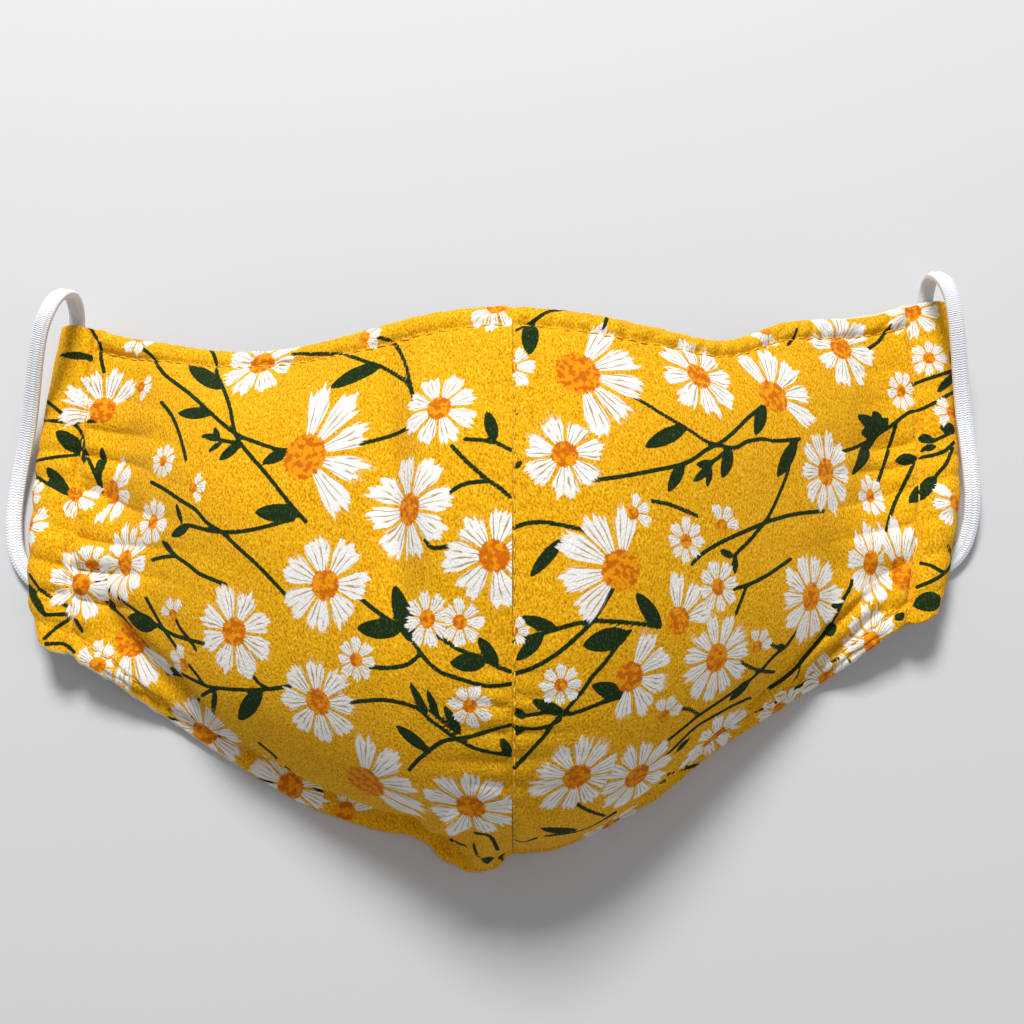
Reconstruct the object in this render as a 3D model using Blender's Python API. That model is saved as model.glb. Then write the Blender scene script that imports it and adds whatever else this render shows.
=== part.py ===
"""A shaped cloth face mask with two white elastic ear loops, lying on a flat surface with its hollow
side down: millimetres, X across the mask, Y up towards the nose, Z away from the surface.

Each half of the mask is a printed front panel over a plain lining, joined down the middle by a curved
seam. The outer edge of each half is a sewn tunnel, the casing, and an elastic loop runs through it.
"""

import math
from collections import namedtuple

import bmesh
import bpy
import numpy as np
from mathutils import Vector

MM = 0.001

# Cloth and elastic
CLOTH = 1.0  # thickness of the front panel, the lining and the casing's wall
LAYER_GAP = 0.3  # between pieces that touch
BOTH_LAYERS = 2 * CLOTH + LAYER_GAP  # front panel and lining together
LINING_INSET = 0.004  # share of the grid by which the lining stays back from the cloth's edges
ELASTIC_DIAMETER = 3.4
TUNNEL_CLEARANCE = 0.35  # between the elastic and the tunnel that it runs in

# Main sizes of the mask as it lies
NOSE_REACH = 40.0  # from the middle of the mask up to the nose edge, along Y
CHIN_REACH = 75.0  # from the middle of the mask down to the chin hem, along Y
CROWN_HEIGHT = 53.0  # highest point of the centre seam above the surface
CREST_SHARE = 0.64  # where the highest point lies, as a share of the way from hem to top edge
ROUNDNESS = 2.25  # exponent of the curve from the hem up to the crest: 2 is an ellipse
CREST_STEP = 0.62  # the share of the grid's rows that lie below the crest
HEM_FLARE = 5.0  # widest outward turn of the lower hem
HEM_ROWS = 0.07  # the share of the grid's rows that lie on the flare
HEM_RISE = 1.2  # how far the flare climbs before the cloth turns up

# Sides: distance from the centre seam to the stitch line of each casing, at its bottom and top, and how far
# that line bows outward between them, all as shares of HALF_WIDTH
HALF_WIDTH = 100.0
Side = namedtuple("Side", "name sign stitch_bottom stitch_top stitch_bow")
LEFT = Side("left", -1, 0.995, 1.005, 0.020)
RIGHT = Side("right", 1, 0.895, 0.955, 0.034)

# Casing
CASING_WIDTH = 10.5
TUNNEL_WIDTH = 6.8
TUNNEL_HEIGHT = ELASTIC_DIAMETER + 2 * TUNNEL_CLEARANCE
CASING_HEIGHT = TUNNEL_HEIGHT + 2 * CLOTH
TUNNEL_PLACE = 5.6  # from the stitch line to the middle of the tunnel
STITCH_HEIGHT = 0.88 * CASING_HEIGHT  # top of the cloth where the casing is stitched
CASING_BLEND = 0.8  # share of the half width from where the cloth levels out to the stitch line
MOUTH_RAKE = 18.0  # how far the underside is cut back at the lower mouth, where the elastic leaves
CUT_HEIGHT = 0.4 * CASING_HEIGHT  # up to this height the underside is cut back all the way
MOUTH_REACH = 34.0  # length over which the casing's rings lean to follow that cut

# The lower corners stand clear of the elastic that passes under them
CORNER_LIFT = ELASTIC_DIAMETER + 2 * LAYER_GAP
LIFT_FROM_ACROSS = 0.76  # share of the half width where the lift starts
LIFT_TO_ACROSS = 0.9
LIFT_FULL = 21.0  # from the hem, the length of the side that is lifted all the way
LIFT_END = 46.0  # from the hem, where the side lies on the surface again

# Grid of each wall
CELLS_ACROSS = 21
CELLS_UP = 20
CASING_STATIONS = 17
TUNNEL_FIRST_TURN = math.radians(168)  # where the tunnel's first point lies, beside the stitch line
SHARP_ANGLE = math.radians(50)

# Lengthwise sections of each half, from the centre seam (first row) to the stitch line of the casing
# (last row), evenly spaced. top and hem are shares of NOSE_REACH and CHIN_REACH, top_height and crest
# are shares of CROWN_HEIGHT, and flare is a share of HEM_FLARE.
Section = namedtuple("Section", "top hem top_height crest flare")
SECTIONS = {
    "left": [
        Section(1.000, 1.000, 0.830, 1.000, 0.40),
        Section(0.985, 0.980, 0.775, 0.953, 0.80),
        Section(0.955, 0.900, 0.630, 0.790, 0.90),
        Section(0.955, 0.807, 0.435, 0.660, 1.00),
        Section(1.005, 0.693, 0.283, 0.510, 0.90),
        Section(1.112, 0.547, 0.170, 0.283, 0.60),
        Section(1.225, 0.387, 0.102, 0.102, 0.40),
    ],
    "right": [
        Section(1.000, 1.000, 0.830, 1.000, 0.40),
        Section(0.994, 0.949, 0.790, 0.953, 0.36),
        Section(0.984, 0.833, 0.660, 0.830, 0.44),
        Section(1.010, 0.693, 0.470, 0.650, 0.56),
        Section(1.199, 0.573, 0.290, 0.434, 0.60),
        Section(1.281, 0.444, 0.170, 0.217, 0.56),
        Section(1.363, 0.293, 0.102, 0.102, 0.40),
    ],
}

# Soft folds pressed into each half. across and up are shares of the grid, length and width are shares of
# CHIN_REACH, depth is a share of CROWN_HEIGHT, and angle is the fold's direction from the Y axis.
Fold = namedtuple("Fold", "across up length width depth angle")
FOLDS = {
    "left": [
        Fold(0.235, 0.62, 0.83, 0.12, 0.080, 4.0),
        Fold(0.930, 0.66, 0.35, 0.09, 0.026, 84.0),
        Fold(0.920, 0.42, 0.37, 0.11, 0.034, 98.0),
        Fold(0.560, 0.20, 0.80, 0.15, 0.030, 62.0),
    ],
    "right": [
        Fold(0.930, 0.60, 0.32, 0.09, 0.025, 96.0),
        Fold(0.900, 0.36, 0.35, 0.11, 0.030, 80.0),
        Fold(0.100, 0.17, 0.29, 0.08, 0.023, 88.0),
    ],
}

# Shares of the grid over which the folds fade out where the cloth is sewn
SEAM_MARGIN = 0.12
CASING_MARGIN = 0.1
HEM_MARGIN = 0.25
TOP_MARGIN = 0.1

# The elastic of each side runs through the tunnel, and its free stretch lies between the two mouths. These
# are points down its middle in millimetres, from the upper mouth: over the edge, down outside it, under
# the lower corner, round inside the hollow, and up to the lower mouth.
TUNNEL_STEPS_UP = (0.62, 0.75, 0.88, 0.99)  # shares of the casing's length, from the elastic's start
TUNNEL_STEPS_DOWN = (0.22, 0.33, 0.45, 0.58)  # the same, to its end just short of its start
LOOP_ROUTE = {
    "left": [
        (-105.9, 52.5, 3.8),
        (-105.7, 55.3, 6.3),
        (-105.7, 56.3, 9.8),
        (-106.3, 55.3, 13.4),
        (-107.2, 52.5, 16.0),
        (-108.3, 48.7, 17.1),
        (-109.7, 44.6, 16.2),
        (-111.1, 39.6, 13.8),
        (-112.5, 34.2, 10.6),
        (-113.9, 28.6, 7.4),
        (-115.3, 22.8, 4.7),
        (-116.7, 16.4, 2.9),
        (-117.7, 9.4, 1.95),
        (-117.8, 2.0, 1.75),
        (-116.4, -5.2, 1.75),
        (-112.4, -11.0, 1.75),
        (-106.2, -13.9, 1.75),
        (-99.0, -14.2, 1.75),
        (-92.0, -13.2, 1.75),
        (-85.4, -13.4, 1.75),
        (-80.2, -16.4, 1.75),
        (-77.8, -21.6, 1.75),
        (-80.8, -27.6, 1.9),
        (-87.8, -29.8, 2.7),
        (-94.8, -27.6, 4.0),
        (-100.6, -23.8, 5.1),
        (-104.6, -18.6, 6.1),
    ],
    "right": [
        (101.0, 57.6, 4.0),
        (101.0, 60.1, 6.4),
        (101.0, 60.9, 9.5),
        (101.1, 59.9, 12.8),
        (101.9, 57.4, 15.3),
        (102.9, 53.7, 15.9),
        (103.9, 48.8, 14.9),
        (104.8, 43.4, 12.8),
        (105.7, 37.8, 10.2),
        (106.5, 32.0, 8.0),
        (107.1, 26.0, 6.7),
        (107.6, 20.0, 6.2),
        (108.0, 13.9, 5.8),
        (108.2, 7.8, 4.9),
        (107.7, 1.6, 3.4),
        (105.6, -4.2, 2.2),
        (101.2, -8.2, 1.75),
        (94.6, -9.2, 1.75),
        (87.4, -8.2, 1.75),
        (80.4, -7.0, 1.75),
        (73.6, -8.4, 1.75),
        (69.0, -13.6, 1.75),
        (71.2, -21.0, 1.9),
        (78.0, -23.4, 2.7),
        (85.2, -21.6, 4.0),
        (91.0, -17.8, 5.0),
        (95.4, -12.6, 6.1),
    ],
}
ROUTE_STEPS = 2  # curve points made for each point of the route
ELASTIC_SIDES_RESOLUTION = 2


def clear_scene():
    for obj in list(bpy.data.objects):
        bpy.data.objects.remove(obj)


def smooth_step(low, high, value):
    """0 up to low and 1 from high, with a smooth ramp between them. high may be the lower number."""
    share = np.clip((value - low) / (high - low), 0.0, 1.0)
    return share * share * (3.0 - 2.0 * share)


def along_sections(side, column, across):
    """A column of the side's sections read at across, on a smooth curve that is level at the seam."""
    values = np.array([getattr(row, column) for row in SECTIONS[side.name]])
    spans = len(values) - 1
    # A mirrored point before the seam keeps the curve level there.
    points = np.concatenate([[values[1]], values, [2 * values[-1] - values[-2]]])
    place = np.clip(across, 0.0, 1.0) * spans
    index = np.minimum(place.astype(int), spans - 1)
    u = place - index
    before, start, end, after = (points[index + k] for k in range(4))
    square = 2 * before - 5 * start + 4 * end - after
    cube = 3 * (start - end) + after - before
    return start + 0.5 * (u * (end - before) + u**2 * square + u**3 * cube)


def stitch_distance(side, share):
    """Distance of the casing's stitch line from the centre seam, share of the way up its length."""
    straight = side.stitch_bottom + (side.stitch_top - side.stitch_bottom) * share
    return HALF_WIDTH * (straight + side.stitch_bow * np.sin(math.pi * share))


def corner_lift(across, from_hem):
    """How far the cloth stands up where the elastic passes under the lower corner."""
    outer = smooth_step(LIFT_FROM_ACROSS, LIFT_TO_ACROSS, across)
    return CORNER_LIFT * outer * smooth_step(LIFT_END, LIFT_FULL, from_hem)


def section_point(side, across, up):
    """Outer face of the cloth without its folds: x, y and z arrays.

    up runs from 0 at the hem to 1 at the top edge. The first HEM_ROWS of it is the flare of the hem, then
    a superellipse climbs to the crest, and a parabola falls from the crest to the top edge. Towards the
    stitch line the height levels out to STITCH_HEIGHT.
    """
    top = NOSE_REACH * along_sections(side, "top", across)
    hem = -CHIN_REACH * along_sections(side, "hem", across)
    top_height = CROWN_HEIGHT * along_sections(side, "top_height", across)
    crest_height = CROWN_HEIGHT * along_sections(side, "crest", across)
    flare = HEM_FLARE * along_sections(side, "flare", across)
    foot = hem + flare
    foot_height = BOTH_LAYERS + HEM_RISE * flare / HEM_FLARE
    crest = hem + CREST_SHARE * (top - hem)

    on_flare = np.clip(up / HEM_ROWS, 0.0, 1.0)
    climb = np.clip((up - HEM_ROWS) / (CREST_STEP - HEM_ROWS), 0.0, 1.0) * math.pi / 2
    fall = np.clip((up - CREST_STEP) / (1.0 - CREST_STEP), 0.0, 1.0)
    power = 2.0 / ROUNDNESS
    y_climb = crest - (crest - foot) * np.cos(climb) ** power
    z_climb = foot_height + (crest_height - foot_height) * np.sin(climb) ** power
    y = np.where(
        up < HEM_ROWS,
        hem + flare * on_flare,
        np.where(up < CREST_STEP, y_climb, crest + (top - crest) * fall),
    )
    z = np.where(
        up < HEM_ROWS,
        BOTH_LAYERS + (foot_height - BOTH_LAYERS) * on_flare**2,
        np.where(up < CREST_STEP, z_climb, crest_height + (top_height - crest_height) * fall**2),
    )
    x = side.sign * across * stitch_distance(side, (y - hem) / (top - hem))
    level = smooth_step(CASING_BLEND, 1.0, across)
    z = z + (STITCH_HEIGHT - z) * level
    return x, y, z + corner_lift(across, y - hem)


def fold_depth(side, x, y):
    """Sum of the side's folds at x, y: each is a trough, a bell across it and a longer bell along it."""
    depth = np.zeros_like(x)
    for fold in FOLDS[side.name]:
        place = section_point(side, np.array([fold.across]), np.array([fold.up]))
        turn = math.radians(fold.angle)
        dx, dy = x - place[0][0], y - place[1][0]
        along = (-dx * math.sin(turn) + dy * math.cos(turn)) / (fold.length * CHIN_REACH)
        beside = (dx * math.cos(turn) + dy * math.sin(turn)) / (fold.width * CHIN_REACH)
        depth += fold.depth * CROWN_HEIGHT * np.exp(-((2 * along) ** 2) - (2 * beside) ** 2)
    return depth


def outer_face(side, across, up):
    """Points of the outer face of the cloth, as an array of x, y, z.

    The folds fade out at the seam, the casing and both edges, where the cloth is sewn.
    """
    x, y, z = section_point(side, across, up)
    loose = smooth_step(0.0, SEAM_MARGIN, across) * smooth_step(1.0, 1.0 - CASING_MARGIN, across)
    loose = loose * smooth_step(HEM_ROWS, HEM_MARGIN, up) * smooth_step(1.0, 1.0 - TOP_MARGIN, up)
    return np.stack([x, y, z - fold_depth(side, x, y) * loose], axis=-1)


def outward(side, across, up):
    """Unit normals of the outer face. At the centre seam they stay in the mask's middle plane."""
    step = 1e-3
    ahead = outer_face(side, np.clip(across + step, 0, 1), up)
    behind = outer_face(side, np.clip(across - step, 0, 1), up)
    above = outer_face(side, across, np.clip(up + step, 0, 1))
    below = outer_face(side, across, np.clip(up - step, 0, 1))
    normal = side.sign * np.cross(ahead - behind, above - below)
    normal[..., 0] = np.where(across < step, 0.0, normal[..., 0])
    return normal / np.linalg.norm(normal, axis=-1, keepdims=True)


def sheet(side, shift, inset=0.0):
    """A grid of points, row by row from the hem up, that lies shift under the outer face.

    Its outer and top edges stay inset back from the cloth's own edges, as a share of the grid.
    """
    rows = np.linspace(0.0, 1.0, CELLS_UP + 1)
    columns = np.linspace(0.0, 1.0, CELLS_ACROSS + 1)
    rows[-1] -= inset
    columns[-1] -= inset
    up, across = np.meshgrid(rows, columns, indexing="ij")
    points = outer_face(side, across, up) - shift * outward(side, across, up)
    points[..., 0] += side.sign * LAYER_GAP / 2 * (1.0 - across)
    return points


def mesh_object(name, material, vertices, faces):
    """A new object from a list of corners in millimetres and a list of faces."""
    mesh = bpy.data.meshes.new(name)
    mesh.from_pydata([Vector(v) * MM for v in vertices], [], faces)
    mesh.materials.append(material)
    work = bmesh.new()
    work.from_mesh(mesh)
    bmesh.ops.recalc_face_normals(work, faces=work.faces)
    work.to_mesh(mesh)
    work.free()
    mesh.shade_smooth()
    mesh.set_sharp_from_angle(angle=SHARP_ANGLE)
    obj = bpy.data.objects.new(name, mesh)
    bpy.context.scene.collection.objects.link(obj)
    return obj


def closed_wall(name, material, outer, inner):
    """A wall between two sheets of points with the same rows and columns, closed round its rim."""
    rows, columns = outer.shape[:2]
    vertices = np.concatenate([outer.reshape(-1, 3), inner.reshape(-1, 3)])
    offset = rows * columns

    def corner(row, column):
        return row * columns + column

    faces = []
    for row in range(rows - 1):
        for column in range(columns - 1):
            a, b = corner(row, column), corner(row, column + 1)
            c, d = corner(row + 1, column + 1), corner(row + 1, column)
            faces += [(a, b, c), (a, c, d)]
            faces += [(offset + c, offset + b, offset + a), (offset + d, offset + c, offset + a)]
    rim = [corner(0, k) for k in range(columns)]
    rim += [corner(k, columns - 1) for k in range(1, rows)]
    rim += [corner(rows - 1, k) for k in range(columns - 2, -1, -1)]
    rim += [corner(k, 0) for k in range(rows - 2, 0, -1)]
    for here, following in zip(rim, rim[1:] + rim[:1]):
        faces.append((here, offset + here, offset + following, following))
    return mesh_object(name, material, vertices.tolist(), faces)


def front_panel(side, material):
    """The printed outer cloth of one half. Its hem is rolled: the lower edge is as thick as both layers."""
    inner = sheet(side, CLOTH)
    inner[0] = sheet(side, BOTH_LAYERS)[0]
    return closed_wall(f"front_{side.name}", material, sheet(side, 0.0), inner)


def lining(side, material):
    """The plain inner cloth of one half. It starts at the row above the rolled hem."""
    outer = sheet(side, CLOTH + LAYER_GAP, LINING_INSET)[1:]
    inner = sheet(side, BOTH_LAYERS, LINING_INSET)[1:]
    return closed_wall(f"lining_{side.name}", material, outer, inner)


def casing_outline():
    """The casing's outer outline, as pairs: distance from the stitch line, height over its flat underside.

    The lower run is flat, where the casing lies on the surface. At the stitch line it is pinched to the
    thickness of the panel and lining that it continues.
    """
    width, height = CASING_WIDTH, CASING_HEIGHT
    return [
        (LAYER_GAP, STITCH_HEIGHT),
        (0.25 * width, 0.97 * height),
        (0.40 * width, height),
        (0.60 * width, height),
        (0.80 * width, 0.90 * height),
        (0.94 * width, 0.68 * height),
        (width, 0.42 * height),
        (0.96 * width, 0.18 * height),
        (0.84 * width, 0.0),
        (0.64 * width, 0.0),
        (0.42 * width, 0.0),
        (0.26 * width, 0.08 * height),
        (0.13 * width, 0.5 * (STITCH_HEIGHT - BOTH_LAYERS)),
        (LAYER_GAP, STITCH_HEIGHT - BOTH_LAYERS),
    ]


def tunnel_outline(count):
    """The tunnel's outline, an ellipse with as many points as the outer outline, in the same order."""
    outline = []
    for k in range(count):
        turn = TUNNEL_FIRST_TURN - 2 * math.pi * k / count
        outline.append(
            (
                TUNNEL_PLACE + TUNNEL_WIDTH / 2 * math.cos(turn),
                CASING_HEIGHT / 2 + TUNNEL_HEIGHT / 2 * math.sin(turn),
            )
        )
    return outline


def beside_stitch_line(side, share, distance, height):
    """A point of the casing: share of the way up it, distance outward from its stitch line, and height
    over its underside. The arguments may be arrays of one shape."""
    hem = -CHIN_REACH * SECTIONS[side.name][-1].hem
    length = NOSE_REACH * SECTIONS[side.name][-1].top - hem
    step = 1e-3
    slope = (stitch_distance(side, share + step) - stitch_distance(side, share - step)) / (2 * step)
    lean = np.arctan2(slope, length)
    x = stitch_distance(side, share) + distance * np.cos(lean)
    y = hem + length * share - distance * np.sin(lean)
    z = height + corner_lift(1.0, length * share)
    return np.stack([side.sign * x, y, z], axis=-1)


def casing(side, material):
    """The sewn tunnel along the outer edge of one half, open at both ends."""
    length = NOSE_REACH * SECTIONS[side.name][-1].top + CHIN_REACH * SECTIONS[side.name][-1].hem
    stations = np.linspace(0.0, 1.0, CASING_STATIONS)[:, None]

    def tube(outline):
        """One ring of points at each station, leaning back below towards the cut of the lower mouth."""
        distance, height = np.array(outline).T
        cut = MOUTH_RAKE / length * np.clip((STITCH_HEIGHT - height) / (STITCH_HEIGHT - CUT_HEIGHT), 0.0, 1.0)
        share = stations + cut * np.clip(1.0 - stations * length / MOUTH_REACH, 0.0, 1.0)
        return beside_stitch_line(side, share, distance + 0 * share, height + 0 * share)

    outline = casing_outline()
    count = len(outline)
    outer, inner = tube(outline), tube(tunnel_outline(count))
    vertices = np.concatenate([outer.reshape(-1, 3), inner.reshape(-1, 3)])
    offset = CASING_STATIONS * count
    faces = []
    for row in range(CASING_STATIONS - 1):
        for k in range(count):
            a, b = row * count + k, row * count + (k + 1) % count
            faces.append((a, b, b + count, a + count))
            faces.append((offset + a, offset + a + count, offset + b + count, offset + b))
    for row in (0, CASING_STATIONS - 1):
        for k in range(count):
            a, b = row * count + k, row * count + (k + 1) % count
            faces.append((a, offset + a, offset + b, b))
    return mesh_object(f"casing_{side.name}", material, vertices.tolist(), faces)


def smooth_route(points):
    """Points on a smooth curve through the route's points, ROUTE_STEPS for each of them."""
    route = [Vector(p) for p in points]
    route = [2 * route[0] - route[1], *route, 2 * route[-1] - route[-2]]
    made = []
    for k in range(1, len(route) - 2):
        before, start, end, after = route[k - 1 : k + 3]
        for step in range(ROUTE_STEPS):
            u = step / ROUTE_STEPS
            made.append(
                start
                + 0.5 * u * (end - before)
                + 0.5 * u**2 * (2 * before - 5 * start + 4 * end - after)
                + 0.5 * u**3 * (3 * (start - end) + after - before)
            )
    return made + [route[-2]]


def ear_loop(side, material):
    """The elastic of one side: a round tube along its route."""
    height = CASING_HEIGHT / 2
    first = [beside_stitch_line(side, share, TUNNEL_PLACE, height) for share in TUNNEL_STEPS_UP]
    last = [beside_stitch_line(side, share, TUNNEL_PLACE, height) for share in TUNNEL_STEPS_DOWN]
    points = smooth_route([*first, *LOOP_ROUTE[side.name], *last])
    curve = bpy.data.curves.new(f"ear_loop_{side.name}", "CURVE")
    curve.dimensions = "3D"
    curve.bevel_depth = ELASTIC_DIAMETER / 2 * MM
    curve.bevel_resolution = ELASTIC_SIDES_RESOLUTION
    curve.use_fill_caps = True
    curve.materials.append(material)
    spline = curve.splines.new("POLY")
    spline.points.add(len(points) - 1)
    for place, point in zip(spline.points, points):
        place.co = (*(point * MM), 1.0)
    obj = bpy.data.objects.new(f"ear_loop_{side.name}", curve)
    bpy.context.scene.collection.objects.link(obj)
    return obj


def cloth_material(name, colour, roughness):
    material = bpy.data.materials.new(name)
    material.use_nodes = True
    shader = material.node_tree.nodes["Principled BSDF"]
    shader.inputs["Base Color"].default_value = (*colour, 1.0)
    shader.inputs["Roughness"].default_value = roughness
    shader.inputs["Metallic"].default_value = 0.0
    return material


def centre_over_origin(cloth, others):
    """Moves everything so that the cloth's box stands on the origin, centred, with its foot at z = 0."""
    corners = np.array([v.co for obj in cloth for v in obj.data.vertices])
    low, high = corners.min(axis=0), corners.max(axis=0)
    shift = Vector((-(low[0] + high[0]) / 2, -(low[1] + high[1]) / 2, -low[2]))
    for obj in cloth + others:
        obj.location = shift


def main():
    clear_scene()
    printed = cloth_material("printed_cotton", (0.80, 0.42, 0.03), 0.85)
    plain = cloth_material("lining_cotton", (0.86, 0.82, 0.72), 0.9)
    white = cloth_material("white_elastic", (0.86, 0.86, 0.87), 0.6)
    cloth, loops = [], []
    for side in (LEFT, RIGHT):
        cloth += [front_panel(side, printed), lining(side, plain), casing(side, printed)]
        loops.append(ear_loop(side, white))
    centre_over_origin(cloth, loops)


main()
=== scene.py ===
"""A cloth face mask that lies face up: two printed halves joined by a curved centre seam over a cream
lining, with a stitched casing down each side and a loop of soft white elastic in each casing.

Sizes are in millimetres of the mask's own drawing, with the centre seam at x = 0, until a mesh is made.
"""

import math
from collections import namedtuple

import bpy
import numpy as np
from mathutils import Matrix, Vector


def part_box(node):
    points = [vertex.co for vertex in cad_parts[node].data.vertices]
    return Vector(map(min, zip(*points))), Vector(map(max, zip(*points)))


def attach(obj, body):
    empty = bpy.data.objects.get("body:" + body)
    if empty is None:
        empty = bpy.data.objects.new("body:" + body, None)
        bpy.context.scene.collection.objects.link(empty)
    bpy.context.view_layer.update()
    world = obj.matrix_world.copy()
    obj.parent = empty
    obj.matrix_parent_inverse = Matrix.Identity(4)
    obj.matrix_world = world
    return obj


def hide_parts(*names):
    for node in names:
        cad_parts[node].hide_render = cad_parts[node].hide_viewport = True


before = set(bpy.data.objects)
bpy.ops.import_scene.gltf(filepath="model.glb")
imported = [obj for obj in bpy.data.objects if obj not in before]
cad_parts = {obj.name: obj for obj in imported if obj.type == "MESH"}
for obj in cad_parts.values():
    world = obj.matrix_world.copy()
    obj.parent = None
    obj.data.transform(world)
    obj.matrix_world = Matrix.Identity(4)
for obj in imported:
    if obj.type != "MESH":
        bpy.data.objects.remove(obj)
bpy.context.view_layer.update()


# Place of the mask. The drawing's centre seam lies midway between the two halves of the frame, and its
# lowest hem is the low edge of their box.
CHIN_REACH = 75.0
MM = 0.001
seam_x = (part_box("front_left")[1][0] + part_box("front_right")[0][0]) / 2
middle_y = min(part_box("front_left")[0][1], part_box("front_right")[0][1]) + CHIN_REACH * MM
DRAWING_ORIGIN = np.array([seam_x, middle_y, 0.0])


def in_frame(points):
    """Drawing millimetres to metres of the shared frame."""
    return np.asarray(points) * MM + DRAWING_ORIGIN


# Camera: straight on, tipped a little forward of overhead, as the photo was taken.
PHOTO_SIZE = 1024
FOCAL_PIXELS = 1230.0
SENSOR_WIDTH = 36.0
CAMERA_ELEVATION = math.radians(78)
CAMERA_PLACE = np.array([0.0, -55.7, 287.1])
camera_data = bpy.data.cameras.new("camera")
camera_data.sensor_width = SENSOR_WIDTH
camera_data.lens = FOCAL_PIXELS / PHOTO_SIZE * SENSOR_WIDTH
camera_data.clip_start = 0.01
camera = bpy.data.objects.new("camera", camera_data)
camera.location = in_frame(CAMERA_PLACE)
camera.rotation_euler = (math.pi / 2 - CAMERA_ELEVATION, 0.0, 0.0)
bpy.context.scene.collection.objects.link(camera)
bpy.context.scene.camera = camera
bpy.context.scene.view_settings.view_transform = "Standard"


# Shape of the cloth. Each half is drawn by lengthwise sections from the seam to the casing's stitch line: a
# flared hem, a superellipse up to the crest and a parabola down to the top edge.
CLOTH = 1.0
LAYER_GAP = 0.3
BOTH_LAYERS = 2 * CLOTH + LAYER_GAP
ELASTIC_DIAMETER = 3.4
NOSE_REACH = 40.0
CROWN_HEIGHT = 53.0
CREST_SHARE = 0.64
ROUNDNESS = 2.25
CREST_STEP = 0.62
HEM_FLARE = 5.0
HEM_ROWS = 0.07
HEM_RISE = 1.2
HALF_WIDTH = 100.0
CASING_HEIGHT = 6.1
STITCH_HEIGHT = 0.88 * CASING_HEIGHT
CASING_BLEND = 0.8
CORNER_LIFT = ELASTIC_DIAMETER + 2 * LAYER_GAP
LIFT_FROM_ACROSS = 0.76
LIFT_TO_ACROSS = 0.9
LIFT_FULL = 21.0
LIFT_END = 46.0
Side = namedtuple("Side", "name sign stitch_bottom stitch_top stitch_bow")
LEFT = Side("left", -1, 0.995, 1.005, 0.020)
RIGHT = Side("right", 1, 0.895, 0.955, 0.034)
# Columns: top, hem (shares of NOSE_REACH and CHIN_REACH), top height, crest height (shares of
# CROWN_HEIGHT) and flare (share of HEM_FLARE).
SECTIONS = {
    "left": np.array(
        [
            (1.000, 1.000, 0.830, 1.000, 0.40),
            (0.985, 0.980, 0.775, 0.953, 0.80),
            (0.955, 0.900, 0.630, 0.790, 0.90),
            (0.955, 0.807, 0.435, 0.660, 1.00),
            (1.005, 0.693, 0.283, 0.510, 0.90),
            (1.112, 0.547, 0.170, 0.283, 0.60),
            (1.225, 0.387, 0.102, 0.102, 0.40),
        ]
    ),
    "right": np.array(
        [
            (1.000, 1.000, 0.830, 1.000, 0.40),
            (0.994, 0.949, 0.790, 0.953, 0.36),
            (0.984, 0.833, 0.660, 0.830, 0.44),
            (1.010, 0.693, 0.470, 0.650, 0.56),
            (1.199, 0.573, 0.290, 0.434, 0.60),
            (1.281, 0.444, 0.170, 0.217, 0.56),
            (1.363, 0.293, 0.102, 0.102, 0.40),
        ]
    ),
}
# Soft folds: place across and up the grid, length and width (shares of CHIN_REACH), depth (share of
# CROWN_HEIGHT) and angle from the Y axis in degrees.
FOLDS = {
    "left": [
        (0.235, 0.62, 0.83, 0.12, 0.080, 4.0),
        (0.930, 0.66, 0.35, 0.09, 0.026, 84.0),
        (0.920, 0.42, 0.37, 0.11, 0.034, 98.0),
        (0.560, 0.20, 0.80, 0.15, 0.030, 62.0),
    ],
    "right": [
        (0.930, 0.60, 0.32, 0.09, 0.025, 96.0),
        (0.900, 0.36, 0.35, 0.11, 0.030, 80.0),
        (0.100, 0.17, 0.29, 0.08, 0.023, 88.0),
    ],
}
SEAM_MARGIN = 0.12
CASING_MARGIN = 0.1
HEM_MARGIN = 0.25
TOP_MARGIN = 0.1


def smooth_step(low, high, value):
    """0 up to low and 1 from high, with a smooth ramp between them. high may be the lower number."""
    share = np.clip((value - low) / (high - low), 0.0, 1.0)
    return share * share * (3.0 - 2.0 * share)


def bell(value, middle, reach):
    """1 at the middle, falling evenly on both sides to 1/e at reach from it."""
    return np.exp(-(((value - middle) / reach) ** 2))


def unit(vectors):
    """The vectors divided by their lengths."""
    return vectors / np.linalg.norm(vectors, axis=-1, keepdims=True)


def along_sections(side, column, across):
    """A column of the side's sections read at across, on a smooth curve that is level at the seam."""
    values = SECTIONS[side.name][:, column]
    spans = len(values) - 1
    points = np.concatenate([[values[1]], values, [2 * values[-1] - values[-2]]])
    place = np.clip(across, 0.0, 1.0) * spans
    index = np.minimum(place.astype(int), spans - 1)
    u = place - index
    before, start, end, after = (points[index + k] for k in range(4))
    square = 2 * before - 5 * start + 4 * end - after
    cube = 3 * (start - end) + after - before
    return start + 0.5 * (u * (end - before) + u**2 * square + u**3 * cube)


def stitch_distance(side, share):
    """Distance of the casing's stitch line from the centre seam, share of the way up its length."""
    straight = side.stitch_bottom + (side.stitch_top - side.stitch_bottom) * share
    return HALF_WIDTH * (straight + side.stitch_bow * np.sin(math.pi * share))


def corner_lift(across, from_hem):
    """How far the cloth stands up where the elastic passes under the lower corner."""
    outer = smooth_step(LIFT_FROM_ACROSS, LIFT_TO_ACROSS, across)
    return CORNER_LIFT * outer * smooth_step(LIFT_END, LIFT_FULL, from_hem)


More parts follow.
